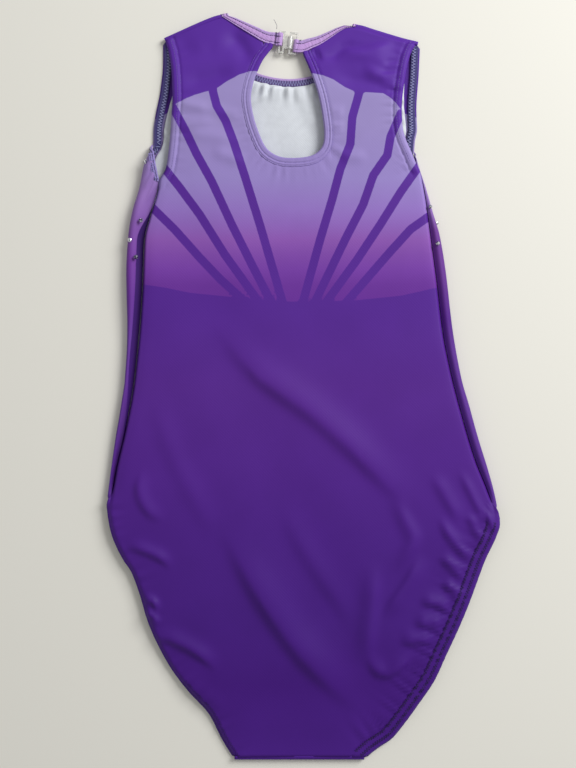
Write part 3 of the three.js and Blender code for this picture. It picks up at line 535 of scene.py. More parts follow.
def printedKnit(name, violet, ground, groundRight=None):
    # Polyamide and elastane jersey, sublimation printed: satin, with a soft sheen and a hard-edged print.
    # Its loops are 0.35 mm apart, drawn 1.1 mm apart so that they show.
    material, tree = newMaterial(name)
    factor, plan, across = lengthFactor(tree)
    bleed = addNode(tree, "ShaderNodeTexNoise", {"Vector": plan, "Scale": 500.0, "Detail": 2.0})
    # the edge attribute is below zero where the violet print lies, and on the front panel also on the painted
    # shade strip beside the left side seam
    edge = addNode(tree, "ShaderNodeAttribute", attribute_name="printAndShadeEdge")
    moved = addNode(tree, "ShaderNodeMath", {0: bleed.outputs["Fac"], 1: 0.4, 2: edge.outputs["Fac"]},
        operation="MULTIPLY_ADD")
    share = addNode(tree, "ShaderNodeMapRange", {"Value": moved.outputs[0], "From Min": -0.15, "From Max": 0.55},
        interpolation_type="SMOOTHSTEP")
    base = ramp(tree, factor, ground)
    if groundRight:
        half = addNode(tree, "ShaderNodeMapRange", {"Value": across, "From Min": -0.03, "From Max": 0.03})
        base = mixColour(tree, half.outputs[0], base, ramp(tree, factor, groundRight))
    colour = mixColour(tree, share.outputs[0], ramp(tree, factor, violet), base)
    cloudy = addNode(tree, "ShaderNodeTexNoise", {"Vector": plan, "Scale": 35.0, "Detail": 3.0})
    tint = addNode(tree, "ShaderNodeMapRange", {"Value": cloudy.outputs["Fac"], "To Min": 0.93, "To Max": 1.07})
    colour = addNode(tree, "ShaderNodeHueSaturation", {"Color": colour, "Value": tint.outputs[0]}).outputs[0]
    surfaceOf(tree, Base_Color=colour, Roughness=0.55, Specular_IOR_Level=0.18, Sheen_Weight=0.03,
        Sheen_Roughness=0.4, Sheen_Tint=linear("#9a7ae0"), Normal=knitBump(tree, plan, 1.1, 0.1))
    return material


def mixColour(tree, factor, a, b):
    # colour a at factor 0, b at 1
    node = tree.nodes.new("ShaderNodeMix")
    node.data_type = "RGBA"
    for place, value in ((0, factor), (6, a), (7, b)):
        if isinstance(value, bpy.types.NodeSocket):
            tree.links.new(value, node.inputs[place])
        else:
            node.inputs[place].default_value = value
    return node.outputs[2]


def plainKnit(name, codes, wale=1.1, rough=0.6, attribute=None, depth=0.3):
    # Dyed jersey: one colour clouded by its yarn, or several shared out by an attribute along the piece
    material, tree = newMaterial(name)
    _, plan, _ = lengthFactor(tree)
    cloudy = addNode(tree, "ShaderNodeTexNoise", {"Vector": plan, "Scale": 220.0, "Detail": 4.0})
    tint = addNode(tree, "ShaderNodeMapRange", {"Value": cloudy.outputs["Fac"], "To Min": 0.9, "To Max": 1.08})
    colour = linear(codes[0])
    if attribute:
        tone = addNode(tree, "ShaderNodeAttribute", attribute_name=attribute)
        stops = [(k / (len(codes) - 1), code) for k, code in enumerate(codes)]
        colour = ramp(tree, tone.outputs["Fac"], stops)
    colour = addNode(tree, "ShaderNodeHueSaturation", {"Color": colour, "Value": tint.outputs[0]}).outputs[0]
    surfaceOf(tree, Base_Color=colour, Roughness=rough, Specular_IOR_Level=0.3, Sheen_Weight=0.15,
        Sheen_Roughness=0.5, Normal=knitBump(tree, plan, wale, depth))
    return material


def plainThread(name, code):
    # Polyester sewing thread: fine twisted fibres give a dull, slightly streaked colour
    material, tree = newMaterial(name)
    place = addNode(tree, "ShaderNodeTexCoord")
    twist = addNode(tree, "ShaderNodeTexNoise", {"Vector": place.outputs["Object"], "Scale": 2500.0,
        "Detail": 2.0})
    value = addNode(tree, "ShaderNodeMapRange", {"Value": twist.outputs["Fac"], "To Min": 0.75, "To Max": 1.25})
    colour = addNode(tree, "ShaderNodeHueSaturation", {"Color": linear(code), "Value": value.outputs[0]})
    surfaceOf(tree, Base_Color=colour.outputs[0], Roughness=0.7, Specular_IOR_Level=0.3)
    return material


backKnit = printedKnit("printedJerseyBack",
    violet=[(0, "#471a82"), (0.1, "#42137a"), (0.18, "#44187d"), (0.3, "#491b82"), (0.4, "#502088"),
        (0.5, "#54248a"), (0.6, "#53248e"), (0.75, "#54268f"), (0.87, "#552896")],
    ground=[(0.6, "#642a93"), (0.635, "#683095"), (0.655, "#733ba0"), (0.675, "#7c46a4"), (0.696, "#8854ab"),
        (0.716, "#8b63b5"), (0.736, "#8f70bc"), (0.776, "#9381c0"), (0.85, "#9485bc"), (1, "#988bc0")])
# On the front below the chest the violet colours only the painted shade strip beside the left seam; its stops
# darken from 0.55 to 0.72 of the length to deepen that painted shade.
frontKnit = printedKnit("printedJerseyFront",
    violet=[(0, "#471a82"), (0.4, "#471a80"), (0.55, "#3a1168"), (0.72, "#32105c"), (0.8, "#552896")],
    ground=[(0.35, "#4f2284"), (0.455, "#582d86"), (0.509, "#5f318f"), (0.562, "#623794"),
        (0.615, "#653192"), (0.669, "#6f3896"), (0.709, "#7c4ea1"), (0.76, "#8e6cb2"), (0.85, "#978abf")],
    groundRight=[(0.35, "#542a88"), (0.55, "#582c88"), (0.589, "#4e1c80"), (0.642, "#5f2e88"),
        (0.709, "#663489"), (0.745, "#8a6aae"), (0.85, "#978abf")])
insideKnit = plainKnit("turnedHemJersey", ["#3d3670"])
hemKnit = plainKnit("turnedHemLavender", ["#8f82c2"])
liningKnit = plainKnit("brushedTricotLining", ["#d2d6dc"], wale=0.9, rough=0.8, depth=0.15)
bandKnit = plainKnit("foldedBindingJersey", ["#46346f", "#ad90c9", "#ba94d0"], attribute="bandTone")
elasticWeb = plainKnit("wovenElastic", ["#e4e1d8"], wale=0.8, rough=0.85, depth=0.6)
darkThread = plainThread("violetThread", "#2c1450")
looperThread = plainThread("greyBlueLooperThread", "#8f90bd")
lilacThread = plainThread("lavenderThread", "#7567a4")
print("materials made")

# Back panel: a body patch under two yoke lobes that part round the keyhole

up = np.array([0.0, 0.0, 1.0])
foldRadius = cloth["foldRadius"]
panelEnd = cloth["crotch"] + foldRadius + cloth["layerGap"]
claspCentre = np.array([*clasp["centre"], loftAt(clasp["centre"][1]) - cloth["bandThick"] / 2])
alongA = np.array([np.cos(clasp["tilt"]), np.sin(clasp["tilt"]), 0])
alongB = np.array([-alongA[1], alongA[0], 0])


def claspPoint(a, b):
    # the clasp's middle plus a along it and b across it
    return claspCentre + a * alongA + b * alongB


def backEdge(side, y):
    # armhole, side seam and leg opening; above the hip the seam runs out into the silhouette
    seam = mix(at["seam", side](y), at["silhouette", side](y), ease((hip[side] + 12 - y) / 12))
    return np.where(y > tip[side], at["backArm", side](y), np.where(y > hip[side], seam, at["backLeg", side](y)))


def backNeckLine(side):
    # free edge of the binding, from the clasp's loop out to the shoulder's corner
    loopEdge = outward[side] * (clasp["pitch"] / 2 + 1.65)
    lift = cloth["neckBandWidth"] / 2 - outward[side] * clasp["play"]
    first = [claspPoint(loopEdge + outward[side] * k, lift)[:2] for k in (0, 2)]
    return smoothLine([*first, *outline["backNeck", side]], 60)


yoke = {
    "level": 184,  # the lobes start here, level with the lower part of the keyhole
    "keyholeTop": {"left": 255, "right": 250}, "neckShare": {"left": 0.5, "right": 0.27}, "shoulderInset": 0.2,
}


def neckTaper(side):
    # share of the binding's width that still lies on the back, from the clasp out: it rolls over to the front
    return mix(1, yoke["neckShare"][side], np.linspace(0, 1, 60))


def shoulderLine(side, inset):
    # fold line of a shoulder from the neck out to the arm, moved in by inset
    return aside(smoothLine(outline["shoulder", side], 50), -outward[side] * inset)


def edgeShares(count, dense=0.4):
    # shares from 0 to 1, closer together at the start: a straight part plus a square
    t = np.linspace(0, 1, count)
    return t * dense + (1 - dense) * t * t


def lobeTop(side, keyholeEnd):
    # top border of a yoke lobe, from the arm in to the keyhole: shoulder seam, then under the neck binding
    neck = backNeckLine(side)
    width = cloth["neckBandWidth"] * neckTaper(side)[:, None]
    under = aside(neck, -outward[side] * np.maximum(width - cloth["tuck"], 0.6 * width))
    seam = shoulderLine(side, foldRadius + yoke["shoulderInset"])
    seam = seam[outward[side] * (seam[:, 0] - under[-1, 0]) > 1][::-1]
    under = under[outward[side] * (under[:, 0] - keyholeEnd[0]) > 1][::-1]
    return np.vstack([seam, under, keyholeEnd[None]])


def backGrids():
    # body patch up to the yoke's level, dented by the keyhole, and a lobe on each side of it
    hole = aside(keyholeLine, cloth["tuck"] - cloth["keyholeBandWidth"])
    level = yoke["level"] * lengthGrade
    below = np.flatnonzero(hole[:, 1] < level)
    leftCorner, rightCorner = hole[below[0]], hole[below[-1]]
    armLeft = np.array([at["backArm", "left"](level), level])
    armRight = np.array([at["backArm", "right"](level), level])
    share = edgeShares(58)[:, None]
    leftRow = mix(armLeft[None], leftCorner[None], share)
    rightRow = mix(armRight[None], rightCorner[None], share)[::-1]
    arc = evenly(hole[below[0]:below[-1] + 1], 34)
    top = np.vstack([leftRow[:-1], arc, rightRow[1:]])
    across = (top[:, 0] - top[0, 0]) / (top[-1, 0] - top[0, 0])
    y = np.linspace(panelEnd, level, 196)
    left, right = (np.stack([backEdge(side, y), y], 1) for side in sides)
    left[-1], right[-1] = armLeft, armRight
    bottom = mix(left[0][None], right[0][None], across[:, None])
    grids = [coons(bottom, top, left, right)]
    for side, row, corner in (("left", leftRow, below[0]), ("right", rightRow, below[-1])):
        inner = hole[:corner + 1][::-1] if side == "left" else hole[corner:]
        inner = inner[inner[:, 1] < yoke["keyholeTop"][side] * lengthGrade]
        topLine = lobeTop(side, inner[-1])
        armY = np.linspace(level, topLine[0, 1], 42)
        arm = np.stack([at["backArm", side](armY), armY], 1)
        arm[-1] = topLine[0]
        inner = evenly(inner, patchShare(arm))
        if side == "left":
            topLine = evenly(topLine, patchShare(row))
            grids.append(coons(row, topLine, arm, inner))
        else:
            topLine = evenly(topLine[::-1], patchShare(row))
            grids.append(coons(row, topLine, inner, arm))
    return grids


def cutArea(grids):
    # area of the patches as drafted, in square metres
    total = 0
    for grid in grids:
        a, b = grid[1:, 1:] - grid[:-1, :-1], grid[1:, :-1] - grid[:-1, 1:]
        total += np.linalg.norm(np.cross(a, b), axis=-1).sum() / 2
    return float(total * millimetre ** 2)


flats = backGrids()
backArea = cutArea(raised(flats))
backPanel = makePiece("backPanel", raised(flats, panelHeight), backKnit,
    {"printAndShadeEdge": printValues(flats)}, wall=cloth["knit"])
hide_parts("back_panel")
print("back panel made")

# Front panel: flat underneath, turned round both side folds, its top edges in the side seams


# seamShade is the width of the painted shade strip beside the left side seam
front = {"level": 190, "neckRise": 0.45, "neckReach": 8, "seamShade": 5.2}


def turned(side, y):
    # 1 where the front panel wraps round the side, 0 at the armhole and the leg opening
    arm = ease((cloth["wrapTop"][side] * lengthGrade - y) / cloth["wrapRun"])
    leg = ease((y - cloth["wrapEnd"][side] * lengthGrade) / cloth["wrapRun"])
    return np.minimum(arm, leg)


def frontOpen(side, y):
    # distance from the middle line to the free edge of an armhole or leg opening
    return outward[side] * np.where(y > 0, at["frontArm", side](y), at["frontLeg", side](y))


def foldAt(side, y):
    # distance from the middle line to the side fold, or to the free edge where nothing is turned over
    t = turned(side, y)
    return mix(frontOpen(side, y), outward[side] * at["silhouette", side](y), t) + loftAt(y) / 2 * (1 - t) ** 3


def reach(side, y):
    # how far the front panel goes from the middle line, measured along its outer face
    r, fold = loftAt(y) / 2, foldAt(side, y)
    top = outward[side] * np.where(y > tip[side], at["frontArmTop", side](y), at["seam", side](y))
    flat = fold - r
    lean = np.clip((top + cloth["layerGap"] - flat) / r, 0, 1)
    over = np.maximum(0, flat - top - cloth["layerGap"])
    return mix(frontOpen(side, y), flat + r * (np.pi - np.arcsin(lean)) + over, turned(side, y))


def frontPlace(side, y, s):
    # half-round section: flat, round the fold, then back on top; the folds of the back carry on over it
    r = loftAt(y) / 2
    flat = foldAt(side, y) - r
    angle = np.clip((s - flat) / r, 0, np.pi)
    past = np.maximum(0, s - flat - np.pi * r)
    x = outward[side] * (np.minimum(s, flat) + r * np.sin(angle) - past)
    z = r - r * np.cos(angle)
    onTop = ease((angle - 1.6) / 1.5)
    z = z + onTop * (clothHeight(x, y) - seamValley(x, y, cloth["valleyWidth"]) - loftAt(y))
    n = np.stack([outward[side] * np.sin(angle), 0 * angle, -np.cos(angle)], -1)
    return np.stack([x, y + 0 * x, z], -1), n


def frontRow(y, inset=0.0):
    # arc lengths of a row from the left top edge to the middle line and on to the right one
    halves = []
    for side in sides:
        total = reach(side, y)[:, None] - inset
        flat = (foldAt(side, y) - loftAt(y) / 2)[:, None]
        a = np.minimum(flat, 0.8 * total)
        b = np.minimum(flat + np.pi * loftAt(y)[:, None] / 2, 0.95 * total)
        s = np.hstack([a * np.linspace(0, 1, 28)[:-1] ** 0.8, mix(a, b, np.linspace(0, 1, 14)[:-1]),
            mix(b, total, np.linspace(0, 1, 16))])
        place = frontPlace(side, y[:, None], s)[0]
        halves.append(place[:, ::-1] if side == "left" else place[:, 1:])
    return np.hstack(halves)


def neckFold(side):
    # corner of the neck binding on a shoulder, the fold's direction and its outside
    p, q = outline["shoulder", side][:2]
    w = unit(np.array([*(q - p), 0]))
    return p, w, outward[side] * np.array([-w[1], w[0], 0])


def chestTop(neck, seams, share):
    # top border of a front sheet: left shoulder, neck edge, right shoulder, spaced like the row below it
    left, right = seams
    top = np.vstack([left[left[:, 0] < neck[0, 0] - 1], neck, right[right[:, 0] > neck[-1, 0] + 1]])
    return evenly(top, share)


def frontGrids():
    # wrapped body up to the armholes, and one flat patch above it round the neck
    level = front["level"] * lengthGrade
    # more rows where the wrapped part begins, at the armholes and at the hips
    y = np.unique(np.r_[np.linspace(panelEnd, level, 150), np.linspace(170, level, 22),
        np.linspace(-100, -78, 24)])
    body = frontRow(y)
    row = body[-1]
    neck = aside(frontRim, cloth["tuck"] - cloth["neckBandWidth"])
    left, right = (shoulderLine(side, foldRadius + yoke["shoulderInset"]) for side in sides)
    top = chestTop(neck, (left[::-1], right), patchShare(row[:, :2]))
    arms = []
    for side, end in (("left", top[0]), ("right", top[-1])):
        armY = np.linspace(level, end[1], 30)
        arm = np.stack([at["frontArm", side](armY), armY], 1)
        arm[0], arm[-1] = row[0 if side == "left" else -1, :2], end
        arms.append(arm)
    flat = coons(row[:, :2], top, *arms)
    gap = nearest(flat[..., 0], flat[..., 1], frontRim)[0]
    height = front["neckRise"] * np.exp(-(np.maximum(gap - front["neckReach"], 0) / 2) ** 2)
    chest = np.dstack([flat, height[..., None]])
    chest[0] = row
    return [body[:, ::-1], chest[:, ::-1]]


grids = frontGrids()
edge = printValues(grids, withRays=False)
x, y = (np.concatenate([grid[..., k].ravel() for grid in grids]) for k in (0, 1))
# below the chest the violet print colour is painted only on a strip beside the left seam: painted shade for the
# valley between the back panel's edge and the front's fold
shadeWidth = front["seamShade"] * ease((140 - y) / 30) * ease((y + 60) / 90)
edge = np.where(y < 150, nearest(x, y, edgeLine["seam", "left"])[0] - shadeWidth, edge)
frontPanel = makePiece("frontPanel", grids, frontKnit, {"printAndShadeEdge": edge},
    wall=cloth["knit"])
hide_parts("front_panel")
print("front panel made")

# Linings: brushed tricot inside the front, gathered into the neck binding


lining = {
    "length": 430, "level": 186, "neckInset": 5.6, "shoulderInset": 4, "armInset": 8, "foldInset": 1.6,
    "height": 1.35, "gussetLength": 88, "gussetInset": 9.5,
    "folds": [(1.3, 2.2, [(-40, 214), (-28, 219), (-18, 226)]), (0.8, 4, [(-8, 224), (2, 212), (6, 200)])],
}


def liningGrids(end, level):
    # inside the hems up to the armholes, and one patch above that round the neck binding
    y = np.linspace(end, level, 90)
    edges = []
    for side in sides:
        inset = cloth["edgeInset"] + cloth["hemWidth"] + 2 * cloth["layerGap"]
        opened = frontOpen(side, y) - inset
        wrapped = foldAt(side, y) - loftAt(y) / 2 - lining["foldInset"]
        border = np.minimum(mix(opened, wrapped, turned(side, y)), wrapped)
        edges.append(np.stack([outward[side] * border, y], 1))
    share = np.linspace(0, 1, 120)[None, :, None]
    body = mix(edges[0][:, None], edges[1][:, None], share)
    left, right = (shoulderLine(side, foldRadius + lining["shoulderInset"])[:-9] for side in sides)
    top = chestTop(aside(frontRim, -lining["neckInset"]), (left[::-1], right), patchShare(body[-1]))
    arms = []
    for side, first, end in (("left", body[-1, 0], top[0]), ("right", body[-1, -1], top[-1])):
        armY = np.linspace(level, end[1], 50)
        arm = np.stack([at["frontArm", side](armY) - outward[side] * lining["armInset"], armY], 1)
        arm = arm + mix(first - arm[0], end - arm[-1], np.linspace(0, 1, 50)[:, None])
        arms.append(arm)
    return [body, coons(body[-1], top, *arms)]


def liningHeight(x, y):
    # gathers at the neck, two folds below them, a slow unevenness, and ripples by the armholes
    gap, _, along, _ = nearest(x, y, frontRim)
    clear = ease((gap - 5.4) / 3)
    height = lining["height"] + 1.3 * (1 + waves(along, 6.5, 23)) * np.exp(-((gap - 9) / 7) ** 2) * clear
    for size, reachOut, line in lining["folds"]:
        height = height + size * np.exp(-(nearest(x, y, smoothLine(line, 12))[0] / reachOut) ** 2) * clear
    byArms = ease((abs(x + 12) - 60) / 20) * ease((y - 120) / 30)
    return height + 0.35 * (1 + waves(x + y * 0.5, 30, 29)) + 0.7 * byArms * (1 + waves(y + 0.7 * x, 9, 47))


flats = liningGrids(-cloth["crotch"] * lengthGrade - lining["length"], lining["level"] * lengthGrade)
liningArea = cutArea(raised(flats))
frontLining = makePiece("frontLining", raised(flats, liningHeight), liningKnit,
    wall=cloth["liningKnit"])
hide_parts("front_lining")

gussetY = np.linspace(panelEnd + cloth["layerGap"], panelEnd + lining["gussetLength"], 40)
left, right = (np.stack([at["frontLeg", side](gussetY) - outward[side] * lining["gussetInset"], gussetY], 1)
    for side in sides)
flats = [mix(left[:, None], right[:, None], np.linspace(0, 1, 40)[None, :, None])]
gussetArea = cutArea(raised(flats))
grids = raised(flats, lambda x, y: lining["height"] + 0.1 * waves(x, 9, 31))
crotchLining = makePiece("crotchLining", grids, liningKnit, wall=cloth["liningKnit"])
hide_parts("crotch_lining")
print("linings made")

# Stations along an edge: place on the outer face, direction into the cloth, outward normal


def edgeStations(line, height, facing, inward):
    # a plan line laid on a height; facing is 1 on the back and -1 underneath
    along = unit(np.gradient(line, axis=0))
    w = np.stack([-along[:, 1] * inward, along[:, 0] * inward], 1)
    z = height(line[:, 0], line[:, 1])
    slope = (height(line[:, 0] + 3 * w[:, 0], line[:, 1] + 3 * w[:, 1]) - z) / 3
    n = np.tile(up * facing, (len(line), 1))
    return np.column_stack([line, z]), np.column_stack([w, slope]), n


def foldStations(p, w, over, radius, count):
    # half turn over a fold, from the upper layer to the lower one
    angle = np.linspace(0, np.pi, count)[:, None]
    n = up * np.cos(angle) + over * np.sin(angle)
    centre = np.array([p[0], p[1], foldRadius]) - over * foldRadius
    return centre + n * (foldRadius + radius * (1 + n[:, 2:]) / 2), np.tile(w, (count, 1)), n


def wrapStations(side, start, end, count):
    # the front panel's own edge, which turns over the side fold
    y = np.linspace(start, end, count)
    o, n = frontPlace(side, y, reach(side, y))
    inner = frontPlace(side, y, reach(side, y) - 0.5)[0] - o
    w = unit(np.cross(n, unit(np.gradient(o, axis=0))))
    return o, w * np.sign(np.sum(w * inner, 1))[:, None], n


def joined(*runs):
    # several runs of stations as one
    return tuple(np.vstack(parts) for parts in zip(*runs))


def respaced(stations, pitch):
    # stations at an even pitch, with the direction of travel
    o, w, n = stations
    length = travelled(o)
    places = np.arange(pitch / 2, length[-1], pitch)
    o, w, n = (np.stack([np.interp(places, length, axis) for axis in part.T], 1) for part in (o, w, n))
    return o, unit(w), unit(n), unit(np.gradient(o, axis=0))


def carry(stations, across, depth, follow=0):
    # section of (across, depth) points carried along the stations and capped; both may change along them,
    # and the first stations, as many as follow says, hang below the back panel's own surface
    o, w, n = stations
    across = np.broadcast_to(across, (len(o), np.shape(across)[-1]))
    depth = np.broadcast_to(depth, (len(o), np.shape(depth)[-1]))
    grid = o[:, None] + w[:, None] * across[..., None] - n[:, None] * depth[..., None]
    if follow:
        x, y = grid[:follow, :, 0], grid[:follow, :, 1]
        grid[:follow, :, 2] = panelHeight(x, y) - depth[:follow]
        grid[follow:, :, 2] = np.maximum(grid[follow:, :, 2], cloth["knit"] + 0.1)
    grid = np.concatenate([grid, grid[:, :1]], 1)
    ends = [np.broadcast_to(grid[k, :-1].mean(0), grid[k].shape)[None] for k in (0, -1)]
    return np.concatenate([ends[0], grid, ends[1]])


def strap(a, b, low, high):
    # flat section with rounded borders: a superellipse of power 4 from a to b across and low to high in depth
    turn = np.linspace(0, 2 * np.pi, 21)[:-1]
    c, s = (np.sign(wave) * abs(wave) ** 0.5 for wave in (np.cos(turn), np.sin(turn)))
    return (a + b) / 2 + (b - a) / 2 * c, (low + high) / 2 + (high - low) / 2 * s


def stitchRow(name, stations, across, depth, thread, material):
    # short capsules laid along the stations, turned by slant degrees in the cloth's plane,
    # each the other way from the last; thread is pitch, length, radius and slant
    pitch, length, radius, slant = thread
    o, w, n, t = respaced(stations, pitch)
    turn = np.radians(slant) * np.where(np.arange(len(o)) % 2, 1, -1)[:, None]
    place = o + w * across - n * depth
    d = unit(t * np.cos(turn) + w * np.sin(turn))
    side = np.cross(n, d)
    ring = np.linspace(0, 2 * np.pi, 6)[:-1]
    x = np.repeat([-0.5, -0.36, 0.36, 0.5], 5) * length
    r = np.repeat([0.4, 1, 1, 0.4], 5) * radius
    y, z = np.tile(np.cos(ring), 4) * r, np.tile(np.sin(ring), 4) * r
    points = (place[:, None] + d[:, None] * x[None, :, None] + side[:, None] * y[None, :, None]
        + n[:, None] * z[None, :, None]).reshape(-1, 3)
    points[:, 2] = np.maximum(points[:, 2], 0)  # pressed flat where it meets the table
    k = np.arange(5)
    quads = np.vstack([np.stack([k + 5 * j, (k + 1) % 5 + 5 * j, (k + 1) % 5 + 5 * j + 5, k + 5 * j + 5], 1)
        for j in range(3)])
    start = np.arange(len(o))[:, None, None] * 20
    faces = (start + quads[None]).reshape(-1, 4).tolist()
    faces += (start[..., 0] + k[::-1]).tolist() + (start[..., 0] + k + 15).tolist()
    return finishPiece(name, points, faces, material)


# Sewing threads: pitch, length, radius and slant in degrees
threads = {
    "neckCover": (1.6, 1.4, 0.24, 0), "neckLooper": (0.95, 4.6, 0.2, 70), "keyholeCover": (1.9, 1.45, 0.15, 0),
    "hemLooper": (1.1, 3.6, 0.32, 58), "armCover": (2.0, 1.5, 0.15, 0), "underarmCover": (1.5, 1.25, 0.24, 0),
    "legRight": (1.0, 2.6, 0.24, 74), "legLeft": (1.15, 1.9, 0.18, 68),
}

# Neck binding: one folded strip from clasp to clasp, over both shoulders and along the front neckline

neck = {"raise": 0.35, "groove": (3.1, 8.0), "innerWidth": 6.2, "ridge": 0.3, "elasticStart": 1.2,
    "elasticDepth": (0.75, 1.25), "looperAt": 3.9}


def portion(stations, run):
    # the stations of a slice
    return tuple(part[run] for part in stations)


def neckTop(x, y):
    # just above the back, with a share of its folds
    return loftAt(y) + neck["raise"] + 0.3 * foldHeight(x, y)


def neckStations():
    # the runs in order, and the share of the full width at each station
    folds, backs, shares = {}, {}, {}
    for side in sides:
        folds[side] = foldStations(*neckFold(side), neck["raise"], 12)
        backs[side] = edgeStations(backNeckLine(side), neckTop, 1, -outward[side])
        taper = neckTaper(side)
        shares[side] = np.r_[taper, mix(taper[-1], 1, np.linspace(0, 1, 12) ** 2)]
    neckline = edgeStations(smoothLine(outline["frontNeck", ""], 120), lambda x, y: 0 * x, -1, -1)
    foldBack, backBack = (portion(run["right"], slice(None, None, -1)) for run in (folds, backs))
    runs = [backs["left"], folds["left"], neckline, foldBack, backBack]
    share = np.r_[shares["left"], np.ones(120), shares["right"][::-1]]
    return joined(*runs), [len(run[0]) for run in runs], share


outerPoints = 37  # of a binding's section, from its stitched border to its free edge


def bindingSection(width, inner, grooves, thick, fabric, ridge):
    # outer layer from its stitched border to the rounded free edge, the inner layer back, then their insides
    a = np.r_[np.linspace(1, 0.12, outerPoints - 3), 0.05, 0.015, 0] * width[:, None]
    crown = ridge * np.prod([1 - np.exp(-((a - g) / 0.55) ** 2) for g in grooves], 0)
    edge = thick / 2 * (1 - np.sqrt(np.clip(1 - np.clip(1 - a, 0, 1) ** 2, 0, 1)))
    outer = edge - crown * (a > 0.8)
    b = np.r_[0.015, 0.05, np.linspace(0.12, 1, 14)] * inner[:, None]
    lower = thick - thick / 2 * (1 - np.sqrt(np.clip(1 - np.clip(1 - b, 0, 1) ** 2, 0, 1)))
    inside = np.column_stack([inner, 0 * inner + 0.9, 0 * inner + 0.9, width])
    insideDepth = np.broadcast_to([thick - fabric, thick - fabric, fabric, fabric], inside.shape)
    return np.hstack([a, b, inside]), np.hstack([outer, lower, insideDepth])


stations, runLengths, neckShare = neckStations()
count = sum(runLengths)
frontRun = slice(runLengths[0] + runLengths[1], count - runLengths[3] - runLengths[4])
inFront = np.zeros(count)
inFront[frontRun] = 1
width = cloth["neckBandWidth"] * neckShare
inner = mix(width, neck["innerWidth"], inFront)
grooves = [place * neckShare[:, None] for place in neck["groove"]]
across, depth = bindingSection(width, inner, grooves, cloth["bandThick"], cloth["bandFabric"], neck["ridge"])
travel = travelled(stations[0])
depth = depth + (0.1 * waves(travel, 3.5, 37) * (1 - inFront))[:, None]
# lilac paler between the stitch rows, and dark on the inside of the front neckline
tone = np.where(across < grooves[0], 0.5, np.where(across < grooves[1], 1, 0.72))
loopered = (inFront[:, None] > 0) & (np.arange(across.shape[1]) > outerPoints) & (across > 1.6)
tone = np.where(loopered, 0.04, tone)
grid = carry(stations, across, depth)
grid[..., 2] = np.maximum(grid[..., 2], 0)  # pressed flat where it meets the table
tone = np.concatenate([tone, tone[:, :1]], 1)
tone = np.concatenate([tone[:1], tone, tone[-1:]])


def loopGrid(side):
    # tube of folded binding round the clasp's bar, ribbed where its stitching carries on
    b = np.linspace(-0.5, 0.5, 30) * cloth["neckBandWidth"]
    rib = clasp["loopRadius"] - 0.16 * sum(np.exp(-((b - groove) / 0.45) ** 2) for groove in (1.6, -3.2))
    radius = np.r_[rib - 0.3 * (abs(b) > 4.7), np.full(30, clasp["loopHole"])]
    along = np.r_[b, b[::-1]]
    turn = np.linspace(0, 2 * np.pi, 29)[:, None]
    ringA, ringZ = np.cos(turn) * radius, np.sin(turn) * radius
    shift = -outward[side] * clasp["play"]
    tube = (claspPoint(outward[side] * clasp["pitch"] / 2, shift) + ringA[..., None] * alongA
        + ringZ[..., None] * up + along[None, :, None] * alongB)
    return np.concatenate([tube, tube[:, :1]], 1)


loops = [loopGrid(side) for side in sides]
tone = np.concatenate([tone.ravel(), *[np.full(loop[..., 0].size, 0.8) for loop in loops]])
neckBinding = makePiece("neckBinding", [grid, *loops], bandKnit, {"bandTone": tone}, closed=True)
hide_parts("neck_binding")
section = strap(neck["elasticStart"], neck["elasticStart"] + cloth["elasticWidth"], *neck["elasticDepth"])
neckElastic = makePiece("neckElastic", [carry(portion(stations, slice(6, -6)), *section)], elasticWeb,
    closed=True)
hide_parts("neck_elastic")
backRuns = {"left": slice(0, runLengths[0] + 8), "right": slice(count - runLengths[4] - 8, count)}
for side, run in backRuns.items():
    for k, place in enumerate(grooves):
        groove = (stations[0] + stations[1] * place, stations[1], stations[2])
        stitchRow(f"neckStitch{side.title()}{k + 1}", portion(groove, run), 0, 0.02, threads["neckCover"],
            darkThread)
stitchRow("neckLooper", portion(stations, frontRun), neck["looperAt"], cloth["bandThick"] + 0.02,
    threads["neckLooper"], looperThread)
print("neck binding made")

# Keyhole binding: cut from the printed jersey, so the print carries on over it

keyhole = {"raise": 0.1, "groove": (3.9, 6.1), "ridge": 0.38}
stations = edgeStations(keyholeLine, lambda x, y: clothHeight(x, y) + keyhole["raise"], 1, -1)
width = np.full(len(keyholeLine), float(cloth["keyholeBandWidth"]))
across, depth = bindingSection(width, width, keyhole["groove"], cloth["bandThick"], cloth["bandFabric"],
    keyhole["ridge"])
travel = travelled(keyholeLine)
depth = depth + (0.12 * waves(travel, 4.6, 41))[:, None]
grids = [carry(stations, across, depth)]
keyholeBinding = makePiece("keyholeBinding", grids, backKnit,
    {"printAndShadeEdge": printValues(grids, withRays=False)}, closed=True)
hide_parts("keyhole_binding")
for k, place in enumerate(keyhole["groove"]):
    stitchRow(f"keyholeStitch{k + 1}", stations, place, 0.1, threads["keyholeCover"], lilacThread)
print("keyhole binding made")

# Armholes and leg openings: elastic under a turned hem, coverstitched


def shoulderEnd(side):
    # outer end of a shoulder fold, the fold's direction and its outside
    end, before = outline["shoulder", side][-1], outline["shoulder", side][-2]
    w = unit(np.array([*(before - end), 0]))
    return end, w, outward[side] * np.array([w[1], -w[0], 0])


def armStations(side):
    # up the back's armhole, over the shoulder fold and down the front's armhole
    end, w, over = shoulderEnd(side)
    start = end[1] - foldRadius - 1.5
    y = np.linspace(tip[side] + cloth["hemWidth"], start, 60)
    back = edgeStations(np.stack([at["backArm", side](y), y], 1), clothHeight, 1, outward[side])
    fold = foldStations(end, w, over, 0, 10)
    wrap = wrapStations(side, start, cloth["wrapTop"][side] * lengthGrade - 3, 60)
    return joined(back, fold, wrap), len(back[0])


